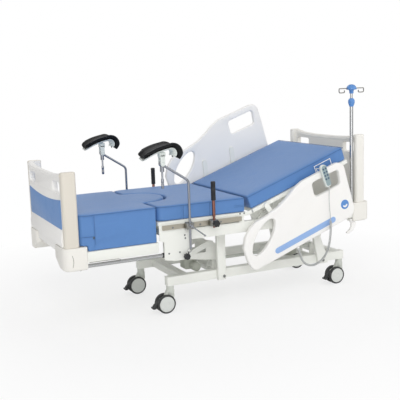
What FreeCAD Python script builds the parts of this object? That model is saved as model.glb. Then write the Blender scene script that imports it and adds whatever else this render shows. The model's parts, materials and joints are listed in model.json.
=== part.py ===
import FreeCAD, Part
import math
import os

import Sketcher

# Electric delivery bed, in millimetres.
# +X runs from the foot end to the head end, -Y is the near side, +Z is up.
# The origin is on the floor under the middle of the bed.
# Rest pose: back section raised, near side rail lowered, far side rail raised, foot section in.

doc = FreeCAD.newDocument("delivery_bed")
sheet = doc.addObject("Spreadsheet::Sheet", "Dims")
NEAR = -1
FAR = 1
SIDES = (("near", NEAR), ("far", FAR))
AXES = {"x": FreeCAD.Rotation(FreeCAD.Vector(0, 1, 0), 90),
        "y": FreeCAD.Rotation(FreeCAD.Vector(1, 0, 0), -90),
        "z": FreeCAD.Rotation()}
nodes = {}
rows = []


class Size:
    """A number that remembers the expression it came from."""

    def __init__(self, value, text):
        self.value = value
        self.text = text

    def joined(self, other, sign, result, swapped=False):
        other = as_size(other)
        left, right = (other, self) if swapped else (self, other)
        return Size(result(left.value, right.value), f"({left.text} {sign} {right.text})")

    def __add__(self, other):
        return self.joined(other, "+", lambda a, b: a + b)

    def __radd__(self, other):
        return self.joined(other, "+", lambda a, b: a + b, True)

    def __sub__(self, other):
        return self.joined(other, "-", lambda a, b: a - b)

    def __rsub__(self, other):
        return self.joined(other, "-", lambda a, b: a - b, True)

    def __mul__(self, other):
        return self.joined(other, "*", lambda a, b: a * b)

    def __rmul__(self, other):
        return self.joined(other, "*", lambda a, b: a * b, True)

    def __truediv__(self, other):
        return self.joined(other, "/", lambda a, b: a / b)

    def __neg__(self):
        return Size(-self.value, f"(0 - {self.text})")


def as_size(value):
    return value if isinstance(value, Size) else Size(float(value), repr(float(value)))


def sine(angle):
    return Size(math.sin(math.radians(angle.value)), f"sin({angle.text} * 1 deg)")


def cosine(angle):
    return Size(math.cos(math.radians(angle.value)), f"cos({angle.text} * 1 deg)")


def size(alias, value, meaning):
    """Put a driving dimension in the sheet and return it."""
    rows.append(alias)
    row = len(rows)
    sheet.set(f"A{row}", meaning)
    sheet.set(f"B{row}", str(value))
    sheet.setAlias(f"B{row}", alias)
    return Size(float(value), f"Dims.{alias}")


def bind(thing, prop, value):
    value = as_size(value)
    if "Dims." in value.text:
        thing.setExpression(prop, value.text)
    elif "." not in prop:
        setattr(thing, prop, value.value)


def place(thing, point, rotation=None):
    x, y, z = (as_size(v) for v in point)
    spot = FreeCAD.Vector(x.value, y.value, z.value)
    thing.Placement = FreeCAD.Placement(spot, rotation or FreeCAD.Rotation())
    for letter, value in (("x", x), ("y", y), ("z", z)):
        bind(thing, f"Placement.Base.{letter}", value)
    return thing


def box(low, high):
    """A block between two corners."""
    low = [as_size(v) for v in low]
    high = [as_size(v) for v in high]
    block = doc.addObject("Part::Box", "block")
    for prop, a, b in (("Length", low[0], high[0]), ("Width", low[1], high[1]), ("Height", low[2], high[2])):
        setattr(block, prop, (b - a).value)
        bind(block, prop, b - a)
    return place(block, low)


def rod(axis, start, radius, length):
    """A round bar from a start point along one axis."""
    bar = doc.addObject("Part::Cylinder", "bar")
    for prop, value in (("Radius", as_size(radius)), ("Height", as_size(length))):
        setattr(bar, prop, value.value)
        bind(bar, prop, value)
    return place(bar, start, AXES[axis])


def fuse(*pieces):
    joined = doc.addObject("Part::MultiFuse", "joined")
    joined.Shapes = list(pieces)
    joined.Refine = True
    return joined


def cut(base, *tools):
    carved = doc.addObject("Part::Cut", "carved")
    carved.Base = base
    carved.Tool = tools[0] if len(tools) == 1 else fuse(*tools)
    carved.Refine = True
    return carved


def both_sides(piece):
    """The piece and its mirror image across the bed's middle plane."""
    image = doc.addObject("Part::Mirroring", "image")
    image.Source = piece
    image.Normal = FreeCAD.Vector(0, 1, 0)
    group = doc.addObject("Part::Compound", "pair")
    group.Links = [piece, image]
    return group


def mirrored(piece):
    image = doc.addObject("Part::Mirroring", "image")
    image.Source = piece
    image.Normal = FreeCAD.Vector(0, 1, 0)
    return image


def together(*pieces):
    """Separate solids of one kind that share a node."""
    group = doc.addObject("Part::Compound", "group")
    group.Links = list(pieces)
    return group


def turned(piece, pivot, axis, angle):
    """The piece turned about a pivot that it was drawn around at the origin."""
    moved = doc.addObject("Part::Compound", "turned")
    moved.Links = [piece]
    place(moved, pivot, FreeCAD.Rotation(FreeCAD.Vector(*axis), as_size(angle).value))
    bind(moved, "Placement.Rotation.Angle", angle)
    return moved


def edge_round(base, radius, wanted):
    """Round the edges that the test picks."""
    doc.recompute()
    radius = as_size(radius).value
    rounded = doc.addObject("Part::Fillet", "rounded")
    rounded.Base = base
    rounded.Edges = [(i + 1, radius, radius) for i, edge in enumerate(base.Shape.Edges) if wanted(edge)]
    return rounded


def along(axis, *spots):
    """A test for straight edges along one axis, near the given spots where there are any."""
    index = "xyz".index(axis)
    others = [i for i in range(3) if i != index]

    def test(edge):
        ends = [vertex.Point for vertex in edge.Vertexes]
        if len(ends) != 2 or any(abs(ends[0][i] - ends[1][i]) > 0.01 for i in others):
            return False
        middle = (ends[0] + ends[1]) / 2
        near = [all(abs(middle[i] - as_size(s).value) < 1 for i, s in zip(others, spot)) for spot in spots]
        return any(near) if spots else True

    return test


PLANES = {"XY": ("XY_Plane", 1), "XZ": ("XZ_Plane", -1), "YZ": ("YZ_Plane", 1)}


class Piece:
    """A body made of sketched features; coordinates are those of its own origin planes."""

    def __init__(self, name):
        self.body = doc.addObject("PartDesign::Body", name)
        self.count = 0

    def sketch(self, plane, rings, level):
        role, way = PLANES[plane]
        drawing = self.body.newObject("Sketcher::SketchObject", "outline")
        flat = [f for f in self.body.Origin.OriginFeatures if f.Role == role][0]
        drawing.AttachmentSupport = [(flat, "")]
        drawing.MapMode = "FlatFace"
        level = as_size(level) * way
        drawing.AttachmentOffset = FreeCAD.Placement(FreeCAD.Vector(0, 0, level.value), FreeCAD.Rotation())
        bind(drawing, "AttachmentOffset.Base.z", level)
        for ring in rings:
            self.ring(drawing, ring)
        return drawing

    def ring(self, drawing, points):
        if len(points) == 3 and points[0] == "circle":
            self.circle(drawing, points[1], points[2])
            return
        points = [(as_size(x), as_size(y)) for x, y in points]
        first = drawing.GeometryCount
        spots = [FreeCAD.Vector(x.value, y.value, 0) for x, y in points]
        count = len(spots)
        drawing.addGeometry([Part.LineSegment(spots[i], spots[(i + 1) % count]) for i in range(count)], False)
        for i in range(count):
            drawing.addConstraint(Sketcher.Constraint("Coincident", first + i, 2, first + (i + 1) % count, 1))
        for i, (x, y) in enumerate(points):
            for kind, value in (("DistanceX", x), ("DistanceY", y)):
                number = drawing.addConstraint(Sketcher.Constraint(kind, -1, 1, first + i, 1, value.value))
                bind_constraint(drawing, number, value)

    def circle(self, drawing, centre, radius):
        x, y, radius = as_size(centre[0]), as_size(centre[1]), as_size(radius)
        round_edge = Part.Circle(FreeCAD.Vector(x.value, y.value, 0), FreeCAD.Vector(0, 0, 1), radius.value)
        number = drawing.addGeometry(round_edge, False)
        for kind, value in (("DistanceX", x), ("DistanceY", y)):
            bind_constraint(drawing, drawing.addConstraint(
                Sketcher.Constraint(kind, -1, 1, number, 3, value.value)), value)
        bind_constraint(drawing, drawing.addConstraint(
            Sketcher.Constraint("Radius", number, radius.value)), radius)

    def feature(self, kind, drawing, length):
        made = self.body.newObject(kind, kind.split("::")[1].lower())
        made.Profile = drawing
        made.Length = as_size(length).value
        bind(made, "Length", length)
        return made

    def pad(self, plane, rings, low, high):
        """Add a prism between two levels along the plane's third axis."""
        low, high = as_size(low), as_size(high)
        start = high if PLANES[plane][1] < 0 else low
        self.feature("PartDesign::Pad", self.sketch(plane, rings, start), high - low)
        return self

    def pocket(self, plane, rings, low, high):
        """Cut a prism between two levels; a pocket runs against its sketch's normal."""
        low, high = as_size(low), as_size(high)
        start = low if PLANES[plane][1] < 0 else high
        before = self.solid().Volume
        self.feature("PartDesign::Pocket", self.sketch(plane, rings, start), high - low)
        if self.solid().Volume >= before:
            raise ValueError(f"a pocket of {self.body.Label} cut nothing")
        return self

    def solid(self):
        doc.recompute()
        return self.body.Shape

    def round(self, radius, wanted):
        """Round the edges that the test picks."""
        shape = self.solid()
        names = [f"Edge{i + 1}" for i, edge in enumerate(shape.Edges) if wanted(edge)]
        fillet = self.body.newObject("PartDesign::Fillet", "fillet")
        fillet.Base = (fillet.BaseFeature, names)
        fillet.Radius = as_size(radius).value
        bind(fillet, "Radius", radius)
        doc.recompute()
        if "Invalid" in fillet.State:
            raise ValueError(f"a fillet of {self.body.Label} failed on {names}")
        return self

    def revolve(self, rings):
        """Turn a profile about the body's own Y axis."""
        drawing = self.sketch("XY", rings, 0)
        turned_form = self.body.newObject("PartDesign::Revolution", "revolution")
        turned_form.Profile = drawing
        turned_form.ReferenceAxis = (drawing, ["V_Axis"])
        turned_form.Angle = 360
        return self


def bind_constraint(drawing, number, value):
    if "Dims." in value.text:
        drawing.setExpression(f"Constraints[{number}]", value.text)


def plate(plane, rings, low, high, name="plate"):
    return Piece(name).pad(plane, rings, low, high).body


def node(label, thing):
    """Give a finished sub-part its name."""
    thing.Label = label
    nodes[label] = thing
    return thing


# Driving dimensions
seat_gap = size("seatgap", 0.3, "gap left between pieces that seat on each other")
pin_fit = size("pinfit", 0.05, "radial clearance of a running pin")
open_fit = size("openfit", 0.3, "radial clearance of an opened pivot")

wheel_radius = size("wheelradius", 62.5, "caster wheel radius")
wheel_wide = size("wheelwide", 24, "width of one caster wheel")
wheel_gap = size("wheelgap", 27, "space between twin wheels")
trail = size("castertrail", 38, "wheel axle behind the swivel stem")
neck_radius = size("neckradius", 25, "caster neck radius")
axle_radius = size("axleradius", 6, "caster axle radius")

beam_y = size("beamside", 265, "base beam centre line from the middle")
beam_wide = size("beamwide", 50, "base beam width")
beam_low = size("beamlow", 180, "underside of the base beams")
beam_high = size("beamhigh", 60, "base beam height")
beam_foot = size("beamfoot", -405, "foot end of the base beams")
beam_head = size("beamhead", 995, "head end of the base beams")
stem_inset = size("steminset", 25, "caster stem from the beam end")

arm_foot_x = size("armfootplace", -6, "lower pivot of the foot lift arm")
arm_head_x = size("armheadplace", 794, "lower pivot of the head lift arm")
arm_z = size("armlevel", 200, "height of the lower pivots")
arm_length = size("armlength", 340, "lift arm between its pivots")
arm_lean = size("armlean", 3, "lean of the arms towards the foot, degrees")
arm_thick = size("armthick", 25, "lift arm plate thickness")
arm_gap = size("armgap", 2, "washer gap beside a lift arm")
shaft_radius = size("shaftradius", 16, "lower cross shaft radius")
arm_pin = size("armpin", 12, "upper pivot pin radius")
tie_crank = size("tiecrank", 85, "crank radius of the tie rod")
push_crank = size("pushcrank", 80, "crank height of the push rod pin")
push_lean = size("pushlean", 23.5, "lean of the slotted crank towards the head, degrees")

mattress_half = size("mattresshalf", 428, "half the mattress width")
member_y = mattress_half + 2
member_wide = size("memberwide", 40, "side member width")
member_low = size("memberlow", 507, "underside of the side members")
member_top = size("membertop", 577, "top of the side members")
deck_z = size("decklevel", 640, "top of the seat deck")
deck_thick = size("deckthick", 25, "depth of the seat deck frame")
seat_foot = size("seatfoot", -509, "foot end of the seat frame")
seat_head = size("seathead", 116, "head end of the seat frame")
plate_thick = size("platethick", 6, "side plate thickness")
tube_z = size("tubelevel", 424, "slide tube axis height")
tube_y = mattress_half - 14
tube_radius = size("tuberadius", 12, "slide tube radius")

mattress_top = size("mattresstop", 741, "top of the seat mattress")
crease_x = size("creaseplace", 118, "crease between seat and back mattresses")
seam_x = size("seamplace", -514, "seam between foot and seat mattresses")
tongue_radius = size("tongueradius", 214, "radius of the foot mattress tongue")
soft_gap = size("softgap", 1.5, "gap between soft blocks")

back_tilt = size("backtilt", 19.7, "back section above level, degrees")
back_length = size("backlength", 823, "back mattress length")
back_thick = size("backthick", 97, "back mattress thickness")
back_bar = size("backbar", 26, "back frame bar depth")

foot_end = size("footend", 1119.5, "foot corner covers from the middle")
head_room = size("headroom", 178.5, "from the back mattress, laid flat, to the end of the covers")
head_end = crease_x + back_length + head_room
cover_long = size("coverlong", 146, "corner cover along the bed")
cover_y = mattress_half + 11
cover_deep = size("coverdeep", 200, "corner cover across the bed")
foot_cover_low = size("footcoverlow", 404, "underside of the foot covers")
foot_cover_top = size("footcovertop", 546, "top of the foot covers")
head_cover_low = size("headcoverlow", 478, "underside of the head covers")
head_cover_top = size("headcovertop", 612, "top of the head covers")
carriage_low = size("carriagelow", 446, "underside of the foot carriage beams")
carriage_top = size("carriagetop", 507, "top of the foot carriage beams")

board_deep = size("boarddeep", 90, "depth of the foot board's corner posts")
foot_board_top = size("footboardtop", 1000, "top of the foot board")
head_board_top = size("headboardtop", 1092, "top of the head board")
post_wide = size("postwide", 44, "corner post across the bed")

rail_in = mattress_half + 20
rail_thick = size("railthick", 34, "side rail thickness")
link_length = size("linklength", 212.7, "side rail link between its pivots")
link_angle = size("linkangle", 75, "link angle from the back section, degrees")
link_thick = size("linkthick", 10, "link thickness")
link_wide = size("linkwide", 34, "link width")
link_pin = size("linkpin", 8, "link pin radius")
link_foot = size("linkfoot", 112, "foot link pivot along the back section")
link_space = size("linkspace", 250, "distance between the two links of a rail")
link_drop = size("linkdrop", 115, "link pivots below the mattress top")

pole_x = head_end - 135.5
pole_y = 28 - mattress_half
pole_radius = size("poleradius", 12.5, "outer tube radius of the pole")
mast_radius = size("mastradius", 9, "inner mast radius")
pole_top = size("poletop", 1287, "top of the outer tube")
mast_top = size("masttop", 1378, "top of the mast under its cap")

grip_y = mattress_half + 40
leg_near_x = size("legnear", -312, "near leg support rod along the bed")
leg_far_x = size("legfar", -384, "far leg support rod along the bed")
grip_near_x = size("gripnear", -142, "near hand grip along the bed")
grip_far_x = size("gripfar", -172, "far hand grip along the bed")
rail_bar_low = size("railbarlow", 588, "underside of the accessory rails")
rail_bar_high = size("railbarhigh", 30, "accessory rail height")
rail_bar_in = mattress_half + 10
rail_bar_thick = size("railbarthick", 8, "accessory rail thickness")
leg_rod = size("legrod", 8, "leg support rod radius")

socket_floor = head_cover_low + 44
foot_board_x = -foot_end + 12
head_board_x = head_end - 44
peg_radius = size("pegradius", 12, "end board peg radius")
peg_long = size("peglong", 30, "end board peg below the board")
peg_in = size("pegin", 42, "peg axis behind the board's outer face")
peg_y = mattress_half - 17

gland_s = size("glandplace", 222, "cord gland along the near rail")
gland_n = size("glanddrop", -486, "end of the cord gland from the mattress top")
lever_x = head_end - 159.5
lever_y = 9 - mattress_half
lever_z = size("leverlevel", 493, "height of the release lever pivot")
lever_pin = size("leverpin", 4, "release lever pin radius")

beam_out = beam_y + beam_wide / 2
control_z = beam_low + 45
beam_in = beam_y - beam_wide / 2
beam_top = beam_low + beam_high
arm_in = beam_out + arm_gap
arm_out = arm_in + arm_thick
lean_x = arm_length * sine(arm_lean)
lean_z = arm_length * cosine(arm_lean)
upper_z = arm_z + lean_z
member_in = member_y - member_wide
deck_low = deck_z - deck_thick
mattress_low = deck_z + seat_gap


def caster(name, x, y):
    """A twin-wheel swivel caster with its wheels trailing towards the foot end."""
    wheel_x = x - trail
    half_gap = wheel_gap / 2
    web = half_gap - 1
    hood = plate("XZ", [[(x - neck_radius, beam_low - 30), (x + neck_radius, beam_low - 30),
                         (x + neck_radius, wheel_radius + 38), (wheel_x + 20, wheel_radius - 16),
                         (wheel_x - 14, wheel_radius - 16), (wheel_x - 16, wheel_radius + 18),
                         (wheel_x - 8, wheel_radius + 46)]], y - web, y + web)
    tongue = plate("XZ", [[(wheel_x - 38, wheel_radius + 20), (wheel_x - 15, wheel_radius + 17),
                           (wheel_x - 7, wheel_radius + 47), (wheel_x - 38, wheel_radius + 38)]],
                   y - web / 2, y + web / 2)
    neck = rod("z", (x, y, beam_low - 52), neck_radius, 52)
    axle = rod("y", (wheel_x, y - half_gap - wheel_wide + 5, wheel_radius), axle_radius,
               wheel_gap + wheel_wide * 2 - 10)
    pivot = (wheel_x - 30, y - web, wheel_radius + 29)
    housing = cut(fuse(hood, tongue, neck, axle), rod("y", pivot, 3 + pin_fit, web * 2))
    node(f"{name}_caster_fork", housing)

    wheel = Piece(f"{name}_wheel").revolve([[
        (axle_radius + pin_fit, 0), (22, 0), (24, 4), (46, 4), (50, 1), (wheel_radius - 4, 0),
        (wheel_radius, 5), (wheel_radius, wheel_wide - 6), (wheel_radius - 5, wheel_wide),
        (wheel_radius - 9, wheel_wide), (wheel_radius - 10.5, wheel_wide - 3), (wheel_radius - 12, wheel_wide - 1),
        (20, wheel_wide), (0, wheel_wide), (0, wheel_wide - 4), (axle_radius + pin_fit, wheel_wide - 4)]]).body
    far_wheel = place(wheel, (wheel_x, y + half_gap, wheel_radius))
    other = Piece(f"{name}_wheel").revolve([[
        (axle_radius + pin_fit, 0), (22, 0), (24, -4), (46, -4), (50, -1), (wheel_radius - 4, 0),
        (wheel_radius, -5), (wheel_radius, 6 - wheel_wide), (wheel_radius - 5, -wheel_wide),
        (wheel_radius - 9, -wheel_wide), (wheel_radius - 10.5, 3 - wheel_wide),
        (wheel_radius - 12, 1 - wheel_wide),
        (20, -wheel_wide), (0, -wheel_wide), (0, 4 - wheel_wide), (axle_radius + pin_fit, 4 - wheel_wide)]]).body
    near_wheel = place(other, (wheel_x, y - half_gap, wheel_radius))
    node(f"{name}_caster_wheels", together(near_wheel, far_wheel))

    cheek_in = web / 2 + 0.4
    cheeks = plate("XZ", [[(wheel_x - 24, wheel_radius + 24), (wheel_x - 24, wheel_radius + 34),
                           (wheel_x - 38, wheel_radius + 38), (wheel_x - 84, wheel_radius - 4),
                           (wheel_x - 92, wheel_radius - 24), (wheel_x - 74, wheel_radius - 18)]],
                   y - web, y + web)
    relief = box((wheel_x - 41, y - cheek_in, wheel_radius + 10), (wheel_x - 20, y + cheek_in, wheel_radius + 50))
    tab = edge_round(box((wheel_x - 94, y - 20, wheel_radius - 26), (wheel_x - 70, y + 20, wheel_radius - 14)), 4,
                     along("y"))
    pin = rod("y", pivot, 3, web * 2)
    node(f"{name}_caster_pedal", fuse(cut(cheeks, relief), tab, pin))


def base_frame():
    """Two box beams, three cross members and the gusseted bracket that carries the lift drive."""
    beams = [box((beam_foot, side * beam_y - beam_wide / 2, beam_low),
                 (beam_head, side * beam_y + beam_wide / 2, beam_top)) for _, side in SIDES]
    foot_cross = box((-300, -beam_in - 1, beam_low + 8), (-240, beam_in + 1, beam_top - 4))
    drive_stubs = [box((22, low, beam_low + 8), (66, high, beam_top - 4))
                   for low, high in ((-beam_in - 1, -200), (-38, beam_in + 1))]
    mid_cross = box((600, -beam_in - 1, beam_low), (650, beam_in + 1, control_z))
    head_cross = box((925, -beam_in - 1, beam_low), (985, beam_in + 1, beam_top - 4))
    outline = [(-204, 317), (-204, 371), (-62, 429), (-38, 424), (10, 392), (60, 380),
               (60, beam_top - 6), (28, beam_top - 6), (28, 283)]
    window = [(-150, 352), (-80, 380), (-80, 352)]
    gussets = [plate("XZ", [outline, window], y, y + 6) for y in (-206, -32)]
    hanger = box((-204, -206, 319), (-128, -26, 325))
    stiffener = box((40, -206, 330), (46, -26, 372))
    frame = fuse(*beams, foot_cross, *drive_stubs, mid_cross, head_cross, *gussets, hanger, stiffener)
    bores = [rod("y", (x, -beam_out - 1, arm_z), shaft_radius + pin_fit, beam_out * 2 + 2)
             for x in (arm_foot_x, arm_head_x)]
    node("base_frame", cut(frame, *bores))


push_y = as_size(-75)
tie_y = as_size(-160)
push_z = arm_z + push_crank
push_x = arm_foot_x + push_crank * sine(push_lean) / cosine(push_lean)


def lift_drive():
    """The lift actuator's gearbox, motor and guide tube, and the control box."""
    gearbox = edge_round(box((-200, -118, 226), (-132, -36, 319)), 10, along("y"))
    motor = rod("y", (-140, -182, 250), 29, 66)
    cap = rod("y", (-140, -188, 250), 22, 8)
    guide = rod("x", (-134, push_y, push_z), 17, 40)
    actuator = cut(fuse(gearbox, motor, cap, guide), rod("x", (-190, push_y, push_z), 10 + pin_fit, 120))
    control = edge_round(box((540, -138, control_z), (690, -30, control_z + 72)), 10, along("z"))
    node("lift_drive", together(actuator, control))


def push_rod():
    """The actuator's rod with a forked end and cross pin for the slotted crank."""
    bar = rod("x", (-112, push_y, push_z), 10, push_x + 82)
    fork = cut(box((push_x - 42, push_y - 17, push_z - 13), (push_x + 14, push_y + 17, push_z + 13)),
               box((push_x - 32, push_y - 8, push_z - 14), (push_x + 15, push_y + 8, push_z + 14)))
    pin = rod("y", (push_x, push_y - 17, push_z), 7, 34)
    node("push_rod", fuse(bar, fork, pin))


def crank(x, radius, y, thick):
    """A lever on the cross shaft that carries a tie rod pin."""
    tip_x = x - radius * sine(arm_lean)
    tip_z = arm_z + radius * cosine(arm_lean)
    lever = plate("XZ", [[(x - 22, arm_z - 18), (x + 22, arm_z - 18), (tip_x + 15, tip_z + 12),
                          (tip_x - 15, tip_z + 12)]], y, y + thick)
    return [lever, rod("y", (tip_x, y, tip_z), 8, thick + 22)]


def lift_arms():
    """Two pairs of arms, each pair on its own cross shaft through the base beams."""
    foot_x, head_x = arm_foot_x, arm_head_x
    straight = [(foot_x - 39, arm_z - 26), (foot_x + 17, arm_z - 26), (foot_x + 17, upper_z + 14),
                (foot_x + 4, upper_z + 26), (foot_x - 34, upper_z + 26), (foot_x - 46, upper_z + 14)]
    cranked = [(head_x - 30, arm_z - 24), (head_x + 44, arm_z - 24), (head_x + 44, arm_z + 8),
               (head_x - 17, arm_z + 172), (head_x + 12, upper_z - 20), (head_x + 12, upper_z + 14),
               (head_x, upper_z + 26), (head_x - 36, upper_z + 26), (head_x - 48, upper_z + 10),
               (head_x - 76, arm_z + 172), (head_x - 40, arm_z + 8)]
    for name, x, outline, fit in (("foot", foot_x, straight, pin_fit), ("head", head_x, cranked, open_fit)):
        arms = [plate("XZ", [outline, ("circle", (x - lean_x, upper_z), arm_pin + fit)],
                      side * (arm_in + arm_thick / 2) - arm_thick / 2,
                      side * (arm_in + arm_thick / 2) + arm_thick / 2) for _, side in SIDES]
        shaft = rod("y", (x, -arm_out - 3, arm_z), shaft_radius, arm_out * 2 + 6)
        bolts = [rod("y", (x, side * (arm_out + 4) - 4, arm_z), 11, 8) for _, side in SIDES]
        pieces = arms + [shaft] + bolts + crank(x, tie_crank, tie_y - 24, 10)
        if name == "foot":
            slot_low = push_crank - 2
            slot_high = push_crank / cosine(push_lean + arm_lean) + 2
            lever = plate("XZ", [[(-20, 0), (20, 0), (18, slot_high + 16), (-18, slot_high + 16)]],
                          push_y - 6, push_y + 6)
            slot = plate("XZ", [[(-9.4, slot_low - 7), (9.4, slot_low - 7), (9.4, slot_high + 7),
                                 (-9.4, slot_high + 7)]], push_y - 7, push_y + 7)
            pieces.append(turned(cut(lever, slot), (x, 0, arm_z), (0, 1, 0), push_lean))
        node(f"{name}_lift_arm", fuse(*pieces))
    tip_x = tie_crank * sine(arm_lean)
    tip_z = arm_z + tie_crank * cosine(arm_lean)
    eyes = [rod("y", (x - tip_x, tie_y - 6, tip_z), 18, 12) for x in (foot_x, head_x)]
    bar = rod("x", (foot_x - tip_x + 10, tie_y, tip_z), 11, head_x - foot_x - 20)
    holes = [rod("y", (x - tip_x, tie_y - 12, tip_z), 8 + fit, 24)
             for x, fit in ((foot_x, pin_fit), (head_x, open_fit))]
    node("tie_rod", cut(fuse(bar, *eyes), *holes))


arc_radius = size("arcradius", 200, "radius of the back section's guide arcs")
sector_y = mattress_half - 76


def main_frame():
    """The lifted frame: side members, cross tubes, seat side plates and roller brackets."""
    inner_end = head_end - cover_long - 0.5
    pieces = []
    for _, side in SIDES:
        low = side * (member_y - member_wide / 2) - member_wide / 2
        high = side * (member_y - member_wide / 2) + member_wide / 2
        pieces.append(box((-470, low, member_low), (inner_end, high, member_top)))
        for x in (-300, -112, 62):
            pieces.append(box((x, low, member_top - 1), (x + 36, high, deck_low)))
        for x in (arm_foot_x - lean_x, arm_head_x - lean_x):
            lug_low = side * ((member_in + arm_out + arm_gap) / 2) - (member_in - arm_out - arm_gap) / 2
            lug_high = side * ((member_in + arm_out + arm_gap) / 2) + (member_in - arm_out - arm_gap) / 2
            pieces.append(box((x - 30, lug_low, member_low + 4), (x + 30, lug_high, upper_z + arm_pin + 5)))
            pin_low = side * ((member_in + arm_in) / 2) - (member_in - arm_in) / 2
            pieces.append(rod("y", (x, pin_low, upper_z), arm_pin, member_in - arm_in))
        outline = [(seat_foot, deck_low), (seat_foot, 524), (-478, 510), (-478, 396), (-410, 383),
                   (-345, 383), (-322, 410), (-292, member_low), (-292, deck_low)]
        pieces.append(plate("XZ", [outline], side * (member_y + plate_thick / 2) - plate_thick / 2,
                            side * (member_y + plate_thick / 2) + plate_thick / 2))
        guide_y = side * tube_y
        guide = box((-472, guide_y - 17, tube_z - 24), (-300, guide_y + 17, member_low + 2))
        pieces.append(cut(guide, rod("x", (-473, guide_y, tube_z), tube_radius + pin_fit, 174)))
        pieces.append(roller_bracket(side))
    for x in (-470, 425, inner_end - 83):
        pieces.append(box((x, -(member_in + 1), member_top - 40), (x + 40, member_in + 1, member_top - 2)))
    pieces.append(box((inner_end - 44, -(member_in + 1), member_low + 4),
                      (inner_end, member_in + 1, member_top - 4)))
    between = cover_y - cover_deep - 1
    pieces.append(box((inner_end - 2, -between, member_low + 4), (head_end - 52, between, member_top - 4)))
    pieces.append(pole_socket())
    lug = box((lever_x - 11, lever_y + 11, lever_z - 9), (lever_x + 11, lever_y + 23, member_low + 1))
    pieces.append(cut(lug, rod("y", (lever_x, lever_y + 10, lever_z), lever_pin + pin_fit, 14)))
    pole_bore = rod("z", (pole_x, pole_y, socket_floor), pole_radius + pin_fit, 100)
    node("main_frame", cut(fuse(*pieces), pole_bore))


def roller_bracket(side):
    """Two guide rollers under the back section's arc rail, on a plate inside the side member."""
    low = as_size(side) * (sector_y + 13) - 5
    bracket = plate("XZ", [[(crease_x + 60, member_low + 6), (crease_x + 186, member_low + 6),
                            (crease_x + 186, member_top + 33), (crease_x + 150, member_top + 33),
                            (crease_x + 100, member_low + 48), (crease_x + 60, member_low + 48)]],
                    low - 1, low + 11)
    mount = box((crease_x + 62, side * (sector_y + 29) - 12, member_low + 8),
                (crease_x + 184, side * (sector_y + 29) + 12, member_low + 40))
    rollers = []
    for angle in (22, 50):
        radius = arc_radius + 10 + 8 + seat_gap
        x = crease_x + radius * math.sin(math.radians(angle))
        z = mattress_top - radius * math.cos(math.radians(angle))
        start = side * (sector_y + 3) - 11
        rollers.append(rod("y", (x, start, z), 8, 22))
    return fuse(bracket, mount, *rollers)


def pole_socket():
    """The tube bracket that the infusion pole stands in."""
    return box((pole_x - 20, pole_y - 20, member_low + 4), (pole_x + 20, pole_y + 22, head_cover_top - 24))


def seat_frame():
    """The seat deck: a welded frame under a flat pan, with hinge cheeks at its head end."""
    frame = []
    for _, side in SIDES:
        middle = side * (mattress_half - 14)
        frame.append(box((seat_foot, middle - 14, deck_low), (seat_head, middle + 14, deck_z)))
    for x in (seat_foot, -250, -96):
        frame.append(box((x, 1 - mattress_half, deck_low), (x + 28, mattress_half - 1, deck_z)))
    frame.append(box((seat_foot + 1, 1 - mattress_half, deck_z - 4), (seat_head, mattress_half - 1, deck_z)))
    cheeks = [plate("XZ", [[(seat_head - 66, deck_low + 1), (seat_head + 10, deck_low + 1),
                            (seat_head + 42, deck_low + 12), (seat_head + 34, deck_z + 12),
                            (seat_head - 6, deck_z - 1), (seat_head - 66, deck_z - 1)]],
                    side * (mattress_half + 3) - 2.4, side * (mattress_half + 3) + 2.4)
              for _, side in SIDES]
    shims = [box((seat_head - 66, side * (mattress_half + 0.4) - 1.4, deck_low + 1),
                 (seat_head - 1, side * (mattress_half + 0.4) + 1.4, deck_z - 1)) for _, side in SIDES]
    node("seat_frame", fuse(*frame, *cheeks, *shims))


def accessory_rails():
    """A flat stainless rail along each side of the seat, on bolted spacers."""
    low, high = rail_bar_low, rail_bar_low + rail_bar_high
    pieces = []
    for name, side in SIDES:
        middle = side * (rail_bar_in + rail_bar_thick / 2)
        bar = edge_round(box((-490, middle - rail_bar_thick / 2, low), (72, middle + rail_bar_thick / 2, high)), 4,
                         along("y"))
        spacers = []
        for x in (-440, -250, -60, 55):
            deep = rail_bar_in - member_y - (plate_thick if x < -270 else 0)
            start = side * (rail_bar_in - deep / 2) - deep / 2
            spacers.append(rod("y", (x, start, (low + high) / 2 - 4), 9, deep))
        pieces.append(fuse(bar, *spacers))
    node("accessory_rails", together(*pieces))


def slide_bushings():
    """Black end bushings where the slide tubes enter the seat side plates."""
    rings = []
    for _, side in SIDES:
        ring = rod("x", (-484, side * tube_y, tube_z), tube_radius + 3.6, 12)
        hole = rod("x", (-485, side * tube_y, tube_z), tube_radius + pin_fit, 14)
        rings.append(cut(ring, hole))
    node("slide_bushings", together(*rings))


def seat_mattress():
    """The seat block, notched at the foot end and cut square at the crease."""
    block = Piece("seat_block").pad("XZ", [[(seam_x + soft_gap, mattress_low), (crease_x - soft_gap, mattress_low),
                                            (crease_x - soft_gap, mattress_top), (seam_x + soft_gap, mattress_top)]],
                                    -mattress_half, mattress_half)
    block.pocket("XY", [("circle", (seam_x, 0), tongue_radius + soft_gap)], mattress_low - 1, mattress_top + 1)
    block.round(40, along("z", (seam_x + soft_gap, -mattress_half), (seam_x + soft_gap, mattress_half)))
    block.round(12, lambda edge: along("x")(edge) and edge.BoundBox.ZMin > mattress_low.value + 1)
    node("seat_mattress", block.body)


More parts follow.
